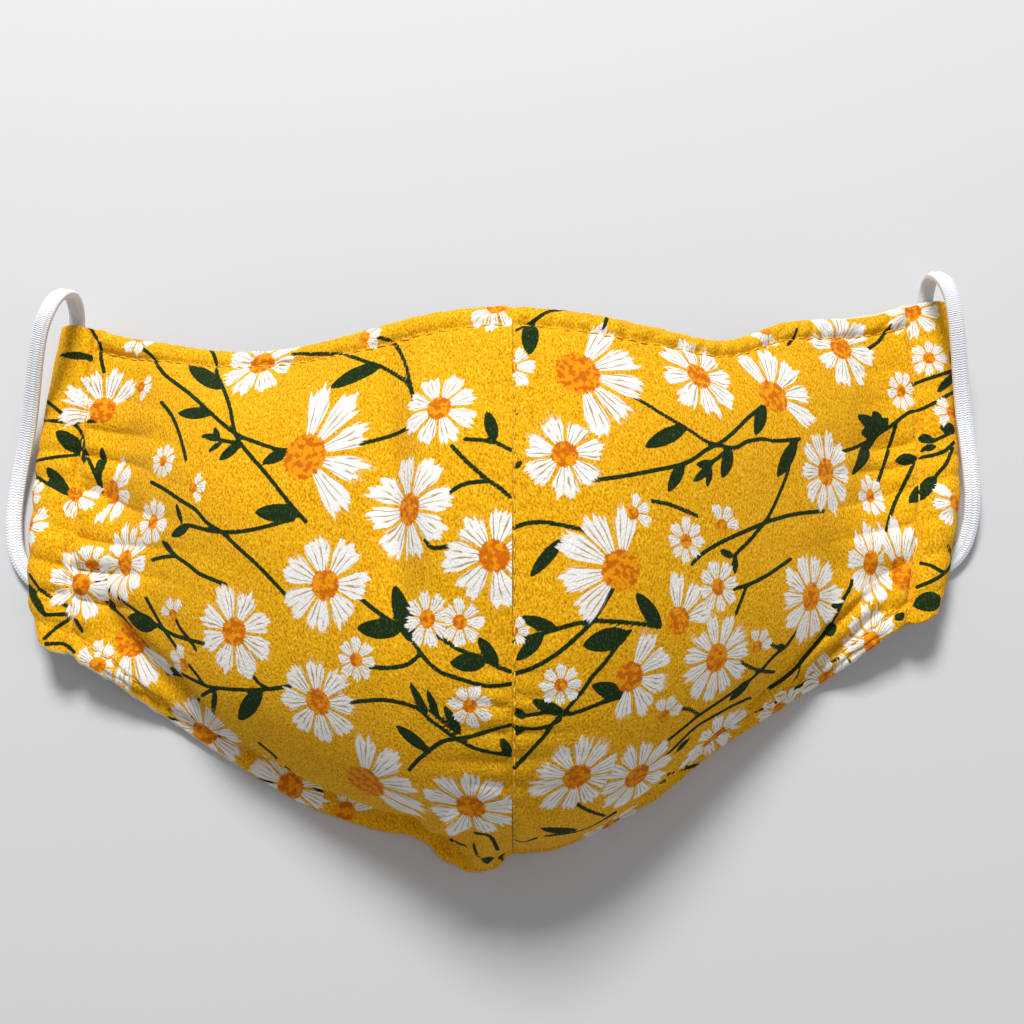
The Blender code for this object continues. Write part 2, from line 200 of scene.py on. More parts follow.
def section_point(side, across, up):
    """x, y and z of the cloth's outer face without its folds. up runs from 0 at the hem to 1 at the top."""
    top = NOSE_REACH * along_sections(side, 0, across)
    hem = -CHIN_REACH * along_sections(side, 1, across)
    top_height = CROWN_HEIGHT * along_sections(side, 2, across)
    crest_height = CROWN_HEIGHT * along_sections(side, 3, across)
    flare = HEM_FLARE * along_sections(side, 4, across)
    foot = hem + flare
    foot_height = BOTH_LAYERS + HEM_RISE * flare / HEM_FLARE
    crest = hem + CREST_SHARE * (top - hem)
    on_flare = np.clip(up / HEM_ROWS, 0.0, 1.0)
    climb = np.clip((up - HEM_ROWS) / (CREST_STEP - HEM_ROWS), 0.0, 1.0) * math.pi / 2
    fall = np.clip((up - CREST_STEP) / (1.0 - CREST_STEP), 0.0, 1.0)
    power = 2.0 / ROUNDNESS
    y_climb = crest - (crest - foot) * np.clip(np.cos(climb), 0.0, 1.0) ** power
    z_climb = foot_height + (crest_height - foot_height) * np.sin(climb) ** power
    y = np.where(up < CREST_STEP, y_climb, crest + (top - crest) * fall)
    y = np.where(up < HEM_ROWS, hem + flare * on_flare, y)
    z = np.where(up < CREST_STEP, z_climb, crest_height + (top_height - crest_height) * fall**2)
    z = np.where(up < HEM_ROWS, BOTH_LAYERS + (foot_height - BOTH_LAYERS) * on_flare**2, z)
    x = side.sign * across * stitch_distance(side, (y - hem) / (top - hem))
    z = z + (STITCH_HEIGHT - z) * smooth_step(CASING_BLEND, 1.0, across)
    return x, y, z + corner_lift(across, y - hem)


def fold_depth(side, x, y):
    """Sum of the side's folds at x, y: each is a trough, a bell across it and a longer bell along it."""
    depth = np.zeros_like(x)
    for across, up, length, width, deep, angle in FOLDS[side.name]:
        place = section_point(side, np.array([across]), np.array([up]))
        turn = math.radians(angle)
        dx, dy = x - place[0][0], y - place[1][0]
        along = (-dx * math.sin(turn) + dy * math.cos(turn)) / (length * CHIN_REACH)
        beside = (dx * math.cos(turn) + dy * math.sin(turn)) / (width * CHIN_REACH)
        depth += deep * CROWN_HEIGHT * np.exp(-((2 * along) ** 2) - (2 * beside) ** 2)
    return depth


def outer_face(side, across, up):
    """Points of the outer face, with folds that fade out at the seam, the casing and both edges."""
    x, y, z = section_point(side, across, up)
    loose = smooth_step(0.0, SEAM_MARGIN, across) * smooth_step(1.0, 1.0 - CASING_MARGIN, across)
    loose = loose * smooth_step(HEM_ROWS, HEM_MARGIN, up) * smooth_step(1.0, 1.0 - TOP_MARGIN, up)
    return np.stack([x, y, z - fold_depth(side, x, y) * loose], axis=-1)


def side_length(side):
    """Length of the casing along Y, and the y of its lower end."""
    hem = -CHIN_REACH * SECTIONS[side.name][-1, 1]
    return NOSE_REACH * SECTIONS[side.name][-1, 0] - hem, hem


def beside_stitch_line(side, share, distance, height):
    """A point of the casing: share of the way up it, distance outward from its stitch line, and height over
    its underside. The arguments may be arrays of one shape."""
    length, hem = side_length(side)
    step = 1e-3
    slope = (stitch_distance(side, share + step) - stitch_distance(side, share - step)) / (2 * step)
    lean = np.arctan2(slope, length)
    x = stitch_distance(side, share) + distance * np.cos(lean)
    y = hem + length * share - distance * np.sin(lean)
    z = height + corner_lift(1.0, length * share)
    return np.stack([side.sign * x, y, z], axis=-1)


def waves(first, second, length, seed):
    """Irregular waves about length long, from -1 to 1 or so: a sum of sines in scattered directions."""
    rng = np.random.default_rng(seed)
    total = 0.0
    for _ in range(6):
        turn, start = rng.uniform(0, 2 * math.pi, 2)
        size = length * rng.uniform(0.7, 1.5)
        along = first * math.cos(turn) + second * math.sin(turn)
        total = total + np.sin(2 * math.pi * along / size + start)
    return total / 3.0


def grid_mesh(name, points, uv, round_columns=False):
    """A mesh of quads over a grid of points in millimetres, with its UV map."""
    rows, columns = points.shape[:2]
    count = rows * columns
    index = np.arange(count).reshape(rows, columns)
    right = np.roll(index, -1, axis=1) if round_columns else index[:, 1:]
    left = index if round_columns else index[:, :-1]
    faces = np.stack([left[:-1], right[:-1], right[1:], left[1:]], axis=-1).reshape(-1, 4)
    mesh = bpy.data.meshes.new(name)
    mesh.vertices.add(count)
    mesh.vertices.foreach_set("co", in_frame(points.reshape(-1, 3)).ravel())
    mesh.loops.add(faces.size)
    mesh.loops.foreach_set("vertex_index", faces.ravel())
    mesh.polygons.add(len(faces))
    mesh.polygons.foreach_set("loop_start", np.arange(0, faces.size, 4))
    mesh.update(calc_edges=True)
    mesh.polygons.foreach_set("use_smooth", np.ones(len(faces), dtype=bool))
    layer = mesh.uv_layers.new(name="OFBake")
    layer.uv.foreach_set("vector", uv.reshape(-1, 2)[faces.ravel()].ravel())
    obj = bpy.data.objects.new(name, mesh)
    bpy.context.scene.collection.objects.link(obj)
    return obj, faces


# Ear loops: soft knitted elastic, round but slack enough to flatten a little, threaded through the casing.
# Each runs up the tunnel, over the mask's upper corner, down outside it, under the lower corner, round
# inside the hollow and back up to the lower mouth. Its knit is ribbed along its length.
TUNNEL_PLACE = 5.6
TUNNEL_STEPS_UP = (0.62, 0.75, 0.88, 0.99)
TUNNEL_STEPS_DOWN = (0.22, 0.33, 0.45, 0.58)
LOOP_ROUTE = {
    "left": np.array(
        [
            (-105.9, 52.5, 3.8), (-105.7, 55.3, 6.3), (-105.7, 56.3, 9.8), (-106.3, 55.3, 13.4),
            (-107.2, 52.5, 16.0), (-108.3, 48.7, 17.1), (-109.7, 44.6, 16.2), (-111.1, 39.6, 13.8),
            (-112.5, 34.2, 10.6), (-113.9, 28.6, 7.4), (-115.3, 22.8, 4.7), (-116.7, 16.4, 2.9),
            (-117.7, 9.4, 1.95), (-117.8, 2.0, 1.75), (-116.4, -5.2, 1.75), (-112.4, -11.0, 1.75),
            (-106.2, -13.9, 1.75), (-99.0, -14.2, 1.75), (-92.0, -13.2, 1.75), (-85.4, -13.4, 1.75),
            (-80.2, -16.4, 1.75), (-77.8, -21.6, 1.75), (-80.8, -27.6, 1.9), (-87.8, -29.8, 2.7),
            (-94.8, -27.6, 4.0), (-100.6, -23.8, 5.1), (-104.6, -18.6, 6.1),
        ]
    ),
    "right": np.array(
        [
            (101.0, 57.6, 4.0), (101.0, 60.1, 6.4), (101.0, 60.9, 9.5), (101.1, 59.9, 12.8),
            (101.9, 57.4, 15.3), (102.9, 53.7, 15.9), (103.9, 48.8, 14.9), (104.8, 43.4, 12.8),
            (105.7, 37.8, 10.2), (106.5, 32.0, 8.0), (107.1, 26.0, 6.7), (107.6, 20.0, 6.2),
            (108.0, 13.9, 5.8), (108.2, 7.8, 4.9), (107.7, 1.6, 3.4), (105.6, -4.2, 2.2),
            (101.2, -8.2, 1.75), (94.6, -9.2, 1.75), (87.4, -8.2, 1.75), (80.4, -7.0, 1.75),
            (73.6, -8.4, 1.75), (69.0, -13.6, 1.75), (71.2, -21.0, 1.9), (78.0, -23.4, 2.7),
            (85.2, -21.6, 4.0), (91.0, -17.8, 5.0), (95.4, -12.6, 6.1),
        ]
    ),
}
LOOP_STEPS = 10
LOOP_WIDTH = 3.9
LOOP_THICKNESS = 2.3
LOOP_AROUND = 48
LOOP_RIBS = 8
LOOP_RIB_DEPTH = 0.06
LOOP_GROOVE = 0.16
KNIT_PITCH = 0.62
KNIT_DEPTH = 0.00006
KNIT_PATTERN_LENGTH = 226.0
BUMP_STRENGTH = 0.9


def smooth_route(points, steps):
    """Points on a smooth curve through the route's points, this many for each of them."""
    route = np.concatenate([[2 * points[0] - points[1]], points, [2 * points[-1] - points[-2]]])
    before, start, end, after = (route[k : len(route) - 3 + k, None] for k in range(4))
    u = (np.arange(steps) / steps)[None, :, None]
    made = start + 0.5 * u * (end - before) + 0.5 * u**2 * (2 * before - 5 * start + 4 * end - after)
    made = made + 0.5 * u**3 * (3 * (start - end) + after - before)
    return np.concatenate([made.reshape(-1, 3), points[-1:]])


def run_along(path):
    """Distance along a path at each of its points, from 0."""
    return np.concatenate([[0.0], np.linalg.norm(np.diff(path, axis=0), axis=1).cumsum()])


def across_strand(path):
    """Directions beside and above the strand at each point of its path. They follow the path without
    twisting, and drift back to level where the path is level."""
    along = unit(np.gradient(path, axis=0))
    level = np.cross(along, [0.0, 0.0, 1.0])
    beside = np.empty_like(path)
    here = level[0]
    for k in range(len(path)):
        here = here - (here @ along[k]) * along[k]
        here = unit(here + 0.15 * level[k] * np.sign(level[k] @ here))
        beside[k] = here
    return beside, np.cross(beside, along)


def new_material(name):
    """A material, its node tree and the tree's shader."""
    material = bpy.data.materials.new(name)
    material.use_nodes = True
    return material, material.node_tree, material.node_tree.nodes["Principled BSDF"]


def object_place(tree):
    """The point of the surface in Object coordinates."""
    return tree.nodes.new("ShaderNodeTexCoord").outputs["Object"]


def feed(tree, socket, value):
    """Links another node's output to the socket, or sets it to a plain number or colour."""
    if isinstance(value, bpy.types.NodeSocket):
        tree.links.new(value, socket)
    else:
        socket.default_value = (*value, 1.0) if isinstance(value, tuple) else value


def calc(tree, operation, *values):
    """A math node fed by sockets or plain numbers."""
    node = tree.nodes.new("ShaderNodeMath")
    node.operation = operation
    for socket, value in zip(node.inputs, values):
        feed(tree, socket, value)
    return node.outputs[0]


def join(tree, x, y, z):
    """A vector made of three values."""
    node = tree.nodes.new("ShaderNodeCombineXYZ")
    for socket, value in zip(node.inputs, (x, y, z)):
        feed(tree, socket, value)
    return node.outputs[0]


def split(tree, vector):
    """The three values of a vector."""
    node = tree.nodes.new("ShaderNodeSeparateXYZ")
    tree.links.new(vector, node.inputs[0])
    return node.outputs


def ramp(tree, value, low, high):
    """0 up to low and 1 from high, smooth between them. high may be the lower number."""
    node = tree.nodes.new("ShaderNodeMapRange")
    node.interpolation_type = "SMOOTHSTEP"
    tree.links.new(value, node.inputs["Value"])
    node.inputs["From Min"].default_value = min(low, high)
    node.inputs["From Max"].default_value = max(low, high)
    node.inputs["To Min"].default_value = 0.0 if low < high else 1.0
    node.inputs["To Max"].default_value = 1.0 if low < high else 0.0
    return node.outputs["Result"]


def noise(tree, vector, scale, detail=1.0, roughness=0.5):
    """Smooth noise from 0 to 1 with this many features to the unit of the vector."""
    node = tree.nodes.new("ShaderNodeTexNoise")
    tree.links.new(vector, node.inputs["Vector"])
    node.inputs["Scale"].default_value = scale
    node.inputs["Detail"].default_value = detail
    node.inputs["Roughness"].default_value = roughness
    return node.outputs["Fac"]


def blend_colours(tree, share, under, over):
    """The under colour at share 0 and the over colour at 1, mixed in between."""
    node = tree.nodes.new("ShaderNodeMix")
    node.data_type = "RGBA"
    tree.links.new(share, node.inputs["Factor"])
    for name, value in (("A", under), ("B", over)):
        socket = [s for s in node.inputs if s.name == name and s.type == "RGBA"][0]
        feed(tree, socket, value)
    return [s for s in node.outputs if s.type == "RGBA"][0]


def bump(tree, height, depth):
    """The surface's normal, tilted by a height of 0 to 1 that stands for depth in metres."""
    node = tree.nodes.new("ShaderNodeBump")
    node.inputs["Distance"].default_value = depth
    node.inputs["Strength"].default_value = BUMP_STRENGTH
    tree.links.new(height, node.inputs["Height"])
    return node.outputs["Normal"]


def loop_material(length):
    """White knitted elastic: rows of small chevrons, one column of them on each rib."""
    material, tree, shader = new_material("white_elastic")
    place = tree.nodes.new("ShaderNodeUVMap")
    place.uv_map = "OFBake"
    run, turn, _ = split(tree, place.outputs["UV"])
    on_rib = calc(tree, "PINGPONG", calc(tree, "MULTIPLY", turn, LOOP_RIBS), 0.5)
    rows = calc(tree, "MULTIPLY", run, length / KNIT_PITCH)
    rows = calc(tree, "ADD", rows, calc(tree, "MULTIPLY", on_rib, 0.9))
    stitch = calc(tree, "SINE", calc(tree, "MULTIPLY", rows, 2 * math.pi))
    fuzz = noise(tree, object_place(tree), 1 / 0.0004, 2.0)
    knit = calc(tree, "ADD", stitch, calc(tree, "MULTIPLY", fuzz, 1.2))
    colour = blend_colours(tree, ramp(tree, knit, 0.2, -0.9), (0.89, 0.91, 0.95), (0.82, 0.85, 0.90))
    tree.links.new(colour, shader.inputs["Base Color"])
    tree.links.new(bump(tree, knit, KNIT_DEPTH), shader.inputs["Normal"])
    shader.inputs["Roughness"].default_value = 0.85
    shader.inputs["Sheen Weight"].default_value = 0.3
    shader.inputs["Specular IOR Level"].default_value = 0.2
    return material


ELASTIC = loop_material(KNIT_PATTERN_LENGTH)
for side in (LEFT, RIGHT):
    height = CASING_HEIGHT / 2
    first = [beside_stitch_line(side, share, TUNNEL_PLACE, height) for share in TUNNEL_STEPS_UP]
    last = [beside_stitch_line(side, share, TUNNEL_PLACE, height) for share in TUNNEL_STEPS_DOWN]
    route = np.concatenate([first, LOOP_ROUTE[side.name], last])
    path = smooth_route(route, LOOP_STEPS)
    beside, above = across_strand(path)
    turn = np.linspace(0, 2 * math.pi, LOOP_AROUND, endpoint=False)
    rib = 1.0 - LOOP_RIB_DEPTH * (0.5 + 0.5 * np.cos(LOOP_RIBS * turn))
    rib = rib - LOOP_GROOVE * bell(np.abs(np.sin(turn)), 1.0, 0.05)
    wide = (LOOP_WIDTH / 2 * rib * np.cos(turn))[None, :, None]
    deep = (LOOP_THICKNESS / 2 * rib * np.sin(turn))[None, :, None]
    rings = path[:, None] + wide * beside[:, None] + deep * above[:, None]
    closed = np.concatenate([path[:1, None] + 0 * rings[:1], rings, path[-1:, None] + 0 * rings[:1]])
    run = np.arange(len(closed))[:, None] / len(closed)
    uv = np.stack([run + 0 * turn, turn / (2 * math.pi) + 0 * run], axis=-1)
    loop, _ = grid_mesh(f"ear_loop_elastic_{side.name}", closed, uv, round_columns=True)
    loop.data.materials.append(ELASTIC)
    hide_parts(f"ear_loop_{side.name}")
    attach(loop, "root")


# Printed halves: mustard crepe cotton with a daisy print, one piece of cloth from the centre seam over the
# cheek to the stitch line and round the casing. The edges are turned under and topstitched.
EDGE_ROLL = 1.1
MOUTH_ROLL = 0.5
TURNED_UNDER = 3.0
HEM_STITCH = 5.4
ROLL_STEPS = 7
COLUMNS = 180
ROWS = 226
FINE_ROWS = 900
MOUTH_RAKE = 18.0
CUT_HEIGHT = 0.4 * CASING_HEIGHT
MOUTH_REACH = 34.0
# The casing's outline: distance from the stitch line, height over its underside.
CASING_OUTLINE = np.array(
    [
        (0.6, 5.30), (1.5, 5.62), (3.0, 5.90), (5.6, 6.00), (7.8, 5.55), (9.4, 4.40), (10.2, 3.30),
        (10.5, 2.20), (10.2, 1.10), (9.2, 0.35), (7.5, 0.05), (5.0, 0.05), (3.0, 0.25), (1.2, 1.20),
        (0.3, 2.50),
    ]
)
CASING_STEPS = 3
# Where the sewn cloth lies off its drawing. Columns: x and y of the place, reach along X and along Y, and
# the shift in x and in y, all in millimetres.
EASED = {
    "left": np.array(
        [
            (-110.0, 54.0, 9.0, 14.0, 1.3, 1.5),
            (-80.0, 46.0, 34.0, 12.0, 0.0, 0.7),
            (-113.0, 15.0, 9.0, 12.0, -0.9, 0.0),
            (-110.0, -30.0, 4.0, 9.0, 1.0, 3.6),
            (-98.0, -30.0, 6.0, 7.0, 0.0, -1.2),
            (-48.0, -62.0, 14.0, 8.0, 0.0, -1.1),
            (-22.0, -70.0, 6.0, 7.0, 0.0, 2.0),
            (2.0, -76.0, 5.0, 8.0, 0.0, 1.3),
            (-14.0, 39.0, 22.0, 8.0, 0.0, 0.6),
        ]
    ),
    "right": np.array(
        [
            (105.0, 58.0, 16.0, 13.0, 1.2, 2.6),
            (42.0, 42.0, 24.0, 10.0, 0.0, -0.7),
            (106.0, -10.0, 10.0, 15.0, -1.9, 0.0),
            (100.0, -23.0, 5.0, 8.0, -0.6, 3.4),
            (90.0, -23.0, 5.0, 7.0, 0.0, -1.2),
            (36.0, -60.0, 14.0, 9.0, 0.0, -1.4),
            (2.0, -76.0, 5.0, 8.0, 0.0, 1.3),
            (-14.0, 39.0, 22.0, 8.0, 0.0, 0.6),
        ]
    ),
}


def eased(side, points):
    """Moves the points by each row of the table, with a bell about the row's place."""
    x, y = points[..., 0], points[..., 1]
    moved = points.copy()
    for place_x, place_y, reach_x, reach_y, shift_x, shift_y in EASED[side.name]:
        share = bell(x, place_x, reach_x) * bell(y, place_y, reach_y)
        moved += share[..., None] * np.array([shift_x, shift_y, 0.0])
    return moved


def cloth_grid(side, columns, rows, stitched):
    """The cloth's points on a grid that is even along its length, with each point's distances from the
    centre seam, the stitch line, the hem and the top edge. With stitched, the grid goes on round the
    casing, and without it is the plain panel."""
    across = np.linspace(0.0, 1.0, columns)
    fine = np.linspace(0.0, 1.0, FINE_ROWS)
    face = outer_face(side, across[None, :] + 0 * fine[:, None], fine[:, None] + 0 * across[None, :])
    steps = np.linalg.norm(np.diff(face, axis=0), axis=-1)
    run = np.concatenate([np.zeros((1, columns)), steps.cumsum(axis=0)])
    total = run[-1]
    share = np.linspace(0.0, 1.0, rows)
    from_hem = EDGE_ROLL + share[:, None] * (total - 2 * EDGE_ROLL)
    points = np.empty((rows, columns, 3))
    for column in range(columns):
        for axis in range(3):
            points[:, column, axis] = np.interp(from_hem[:, column], run[:, column], face[:, column, axis])
    from_top = total - from_hem
    length, hem = side_length(side)
    station = ((points[:, -1, 1] - hem) / length)[:, None]
    from_seam = across * stitch_distance(side, 0.5) + 0 * from_hem
    from_stitch = stitch_distance(side, 0.5) - from_seam
    if stitched:
        outline = smooth_route(np.c_[CASING_OUTLINE, 0 * CASING_OUTLINE[:, 0]], CASING_STEPS)
        distance, height = outline[:, :2].T
        below = np.clip((STITCH_HEIGHT - height) / (STITCH_HEIGHT - CUT_HEIGHT), 0.0, 1.0)
        cut = MOUTH_RAKE / length * below
        place = station + cut * np.clip(1.0 - station * length / MOUTH_REACH, 0.0, 1.0)
        casing = beside_stitch_line(side, place, distance + 0 * place, height + 0 * place)
        round_it = np.hypot(np.diff(distance), np.diff(height)).cumsum()
        round_it = -np.concatenate([[0.6], 0.6 + round_it])
        points = np.concatenate([points, casing], axis=1)
        from_stitch = np.concatenate([from_stitch, round_it + 0 * place], axis=1)
        from_seam = np.concatenate([from_seam, 100.0 - round_it + 0 * place], axis=1)
        ends = from_hem[:, -1:] + 0 * place
        from_hem = np.concatenate([from_hem, ends], axis=1)
        from_top = np.concatenate([from_top, from_top[:, -1:] + 0 * place], axis=1)
    return eased(side, points), from_seam, from_stitch, from_hem, from_top


def normals_of(side, points):
    """Normals of a grid of points: the cross product of its steps along rows and along columns."""
    down, right = np.gradient(points, axis=0), np.gradient(points, axis=1)
    return unit(side.sign * np.cross(right, down))


def chin_crumple(x, y):
    """1 at the crumpled hem left of the seam under the chin, fading to 0 about it."""
    return bell(x, -9.0, 9.0) * bell(y, -69.0, 8.0)


def soft_shape(side, points, from_seam, from_stitch, from_hem, from_top):
    """Height of the soft unevenness of the cloth: slow waves, the crumpled hem under the chin, the
    valley above the hem of the left half and two creases above that of the right one."""
    x, y = points[..., 0], points[..., 1]
    loose = smooth_step(0.0, 12.0, from_hem) * smooth_step(0.0, 10.0, from_top)
    height = 0.4 * waves(x, y, 26.0, 3 + side.sign) * loose * smooth_step(0.0, 8.0, from_stitch)
    height += 1.7 * waves(x, y, 8.0, 77) * chin_crumple(x, y) * smooth_step(0.5, 4.0, from_hem)
    if side.sign > 0:
        along_band = smooth_step(16.0, 30.0, x) * smooth_step(88.0, 76.0, x)
        creases = 2.3 * bell(from_hem, 8.0, 1.8)
        creases += 1.7 * bell(from_hem, 14.5 + 1.5 * np.sin(x / 9.0), 1.5)
        return height - creases * along_band
    outer = smooth_step(-52.0, -76.0, x)
    along_valley = smooth_step(-99.0, -88.0, x) * smooth_step(-10.0, -20.0, x)
    valley = (3.1 + 0.6 * outer) * bell(from_hem, 9.0 + 4.5 * outer, 2.7 + 2.6 * outer)
    return height - valley * along_valley


def ridges(along, spacing, sharpness, level):
    """Round ridges between sharp creases: |sin| of the distance along, to a power, less a level."""
    return np.abs(np.sin(math.pi * along / spacing)) ** sharpness - level


def sewn_shape(side, points, from_seam, from_stitch, from_hem, from_top):
    """Height of what the sewing does: the sunk seams, the puffed hems and the puckers beside them.

    A pucker is |sin| of the distance along the seam, slanted and uneven: round ridges between sharp
    creases, which fade out away from the seam.
    """
    x, y = points[..., 0], points[..., 1]
    height = -0.35 * bell(from_seam, 0.0, 0.9) + 0.16 * bell(from_seam, 2.6, 1.5)
    uneven = 1.5 * waves(y, 0.5 * from_seam, 14.0, 11 + side.sign)
    along_seam = ridges(y + uneven, 4.4, 0.8, 0.6)
    gathered = 0.2 + 1.5 * bell(y, -52.0, 14.0) * (1.0 if side.sign < 0 else 0.6)
    height += gathered * along_seam * np.exp(-from_seam / 6.0) * smooth_step(0.0, 1.5, from_seam)
    panel = smooth_step(-0.5, 1.0, from_stitch)
    for from_edge, puff in ((from_top, 0.6), (from_hem, 0.35)):
        groove = bell(from_edge, HEM_STITCH, 0.7)
        height += (puff * bell(from_edge, 2.6, 2.0) - (0.3 + puff) * groove) * panel
        ripple = ridges(x + 0.5 * from_edge + 2.0 * waves(x, y, 17.0, 21), 4.8, 0.8, 0.6)
        height += 0.5 * ripple * bell(from_edge, 4.6, 3.6) * panel
    height -= 0.85 * bell(from_stitch, 0.0, 0.8)
    length, hem = side_length(side)
    station = (y - hem) / length
    lower = 0.25 + 0.95 * smooth_step(0.78, 0.42, station) * smooth_step(0.0, 0.12, station)
    lower = lower * (1.0 if side.sign < 0 else 0.55)
    slant = y + 0.30 * from_stitch + 2.6 * waves(y, 0.3 * from_stitch, 22.0, 31 + side.sign)
    puckers = ridges(slant, 8.2, 0.75, 0.62)
    small = ridges(slant + 1.2, 3.7, 0.8, 0.6)
    far = np.exp(-(np.abs(from_stitch) / 13.0) ** 1.3)
    near = np.exp(-np.abs(from_stitch) / 3.0)
    deep = np.where(from_stitch > 0, 2.9, 1.3)
    beside_line = smooth_step(0.1, 2.2, np.abs(from_stitch))
    height += (deep * puckers * far + 0.7 * small * near) * lower * beside_line
    height *= smooth_step(-2.5, 0.0, -from_stitch + 100.0)
    return height


def end_rolls(side, points, normals, radius, depth):
    """The rows that turn the cloth under at its hem and top edge: half a circle and a straight stretch."""
    turns = np.linspace(0.0, math.pi, ROLL_STEPS)[1:]
    rows = []
    for edge, inner in ((0, 2), (-1, -3)):
        out = unit(points[edge] - points[inner])
        radius_here, depth_here = radius[:, None], depth[:, None]
        made = [
            points[edge] + radius_here * (out * math.sin(turn) - normals[edge] * (1 - math.cos(turn)))
            for turn in turns
        ]
        made += [made[-1] - out * depth_here * part for part in (0.5, 1.0)]
        rows.append(np.array(made))
    return rows


# The print: painted daisies with mottled orange middles, thin green stems and pointed leaves. Each motif is
# placed by the pixel of the photo at which it shows, which the camera's line of sight puts on the cloth.
# Flower: px, py of its middle, radius in millimetres, petals, direction the open fan faces in degrees, half
# angle of the fan (180 is a whole flower), the half of the mask it is printed on, and its width as a share
# of its height where the cloth is gathered.
Flower = namedtuple("Flower", "px py radius petals facing fan half squash", defaults=[1.0])
FLOWERS = [
    Flower(*row)
    for row in (
        (439, 408, 7.6, 8, 20, 180, "left"), (409, 509, 9.7, 8, 10, 180, "left"),
        (263, 366, 9.4, 8, 15, 180, "left"), (305, 456, 14.8, 11, 12, 74, "left"),
        (494, 556, 9.2, 7, 25, 180, "left"), (325, 585, 9.3, 7, 0, 180, "left"),
        (234, 632, 9.0, 8, 20, 180, "left"), (318, 702, 8.7, 8, 5, 180, "left"),
        (356, 660, 4.3, 8, 0, 180, "left"), (427, 619, 5.4, 8, 10, 180, "left"),
        (460, 622, 4.3, 8, 0, 180, "left"), (470, 706, 4.1, 7, 20, 180, "left"),
        (366, 782, 13.0, 11, 25, 80, "left"), (471, 805, 9.2, 9, 10, 180, "left"),
        (103, 410, 9.6, 9, 112, 82, "left"), (141, 387, 3.8, 7, -20, 70, "left"),
        (163, 461, 3.7, 9, 0, 180, "left"), (193, 488, 3.4, 6, 0, 60, "left"),
        (76, 495, 5.6, 7, -45, 85, "left"), (113, 492, 8.4, 9, -5, 80, "left", 0.75),
        (153, 522, 5.2, 7, 30, 180, "left", 0.86), (125, 563, 8.8, 10, 0, 180, "left", 0.72),
        (80, 584, 8.2, 8, 30, 180, "left", 0.82), (29, 527, 5.6, 8, -10, 85, "left"),
        (98, 665, 5.3, 8, 10, 180, "left"), (132, 640, 11.2, 11, -62, 55, "left"),
        (173, 615, 3.8, 6, 115, 62, "left"), (92, 565, 4.6, 6, 118, 60, "left"),
        (184, 665, 4.4, 7, 160, 65, "left"), (206, 731, 9.0, 10, 0, 180, "left"),
        (290, 786, 9.0, 10, 10, 180, "left"), (345, 812, 7.0, 9, 60, 75, "left"),
        (141, 339, 4.2, 7, -90, 80, "left"), (364, 337, 4.0, 7, 5, 70, "left"),
        (497, 307, 6.2, 8, -110, 72, "left"), (30, 497, 4.2, 7, 40, 70, "left"),
        (578, 373, 14.0, 11, -5, 92, "right"), (565, 454, 8.0, 7, 12, 180, "right"),
        (699, 376, 9.0, 8, 18, 180, "right"), (841, 348, 8.8, 8, 0, 180, "right"),
        (773, 396, 11.5, 10, 55, 80, "right"), (929, 358, 4.2, 8, 0, 180, "right"),
        (901, 391, 4.9, 8, 10, 180, "right", 0.68), (826, 472, 9.2, 10, 0, 180, "right", 0.84),
        (870, 496, 4.9, 8, 0, 180, "right", 0.78), (871, 563, 8.8, 9, 12, 180, "right", 0.60),
        (811, 597, 9.2, 10, 0, 180, "right"), (902, 574, 12.0, 10, 88, 62, "right", 0.55),
        (717, 658, 9.2, 11, 0, 180, "right"), (686, 541, 4.4, 8, 0, 180, "right"),
        (633, 513, 4.0, 7, 25, 62, "right"), (722, 526, 4.4, 7, 60, 58, "right"),
        (621, 570, 12.0, 10, 155, 78, "right"), (718, 587, 5.2, 8, 12, 180, "right"),
        (678, 621, 8.8, 9, 50, 75, "right"), (630, 677, 9.2, 9, -20, 92, "right"),
        (561, 685, 3.9, 8, 0, 180, "right"), (577, 777, 9.0, 10, 8, 180, "right"),
        (637, 776, 9.0, 10, 0, 180, "right"), (714, 737, 9.4, 10, 0, 180, "right"),
        (664, 716, 4.4, 7, 55, 75, "right"), (757, 647, 4.2, 7, 50, 80, "right"),
        (508, 368, 5.0, 7, 0, 85, "right"), (513, 631, 3.0, 7, 0, 85, "right"),
        (765, 331, 4.0, 7, -90, 70, "right"), (912, 313, 6.4, 8, 0, 180, "right"),
        (952, 412, 4.6, 8, 180, 85, "right"), (956, 503, 6.0, 8, 180, 85, "right"),
        (783, 716, 6.0, 8, 0, 180, "right"), (872, 643, 8.0, 10, 0, 180, "right", 0.7),
        (832, 690, 7.0, 8, 0, 180, "right"), (610, 822, 7.0, 8, 0, 180, "right"),
    )
]
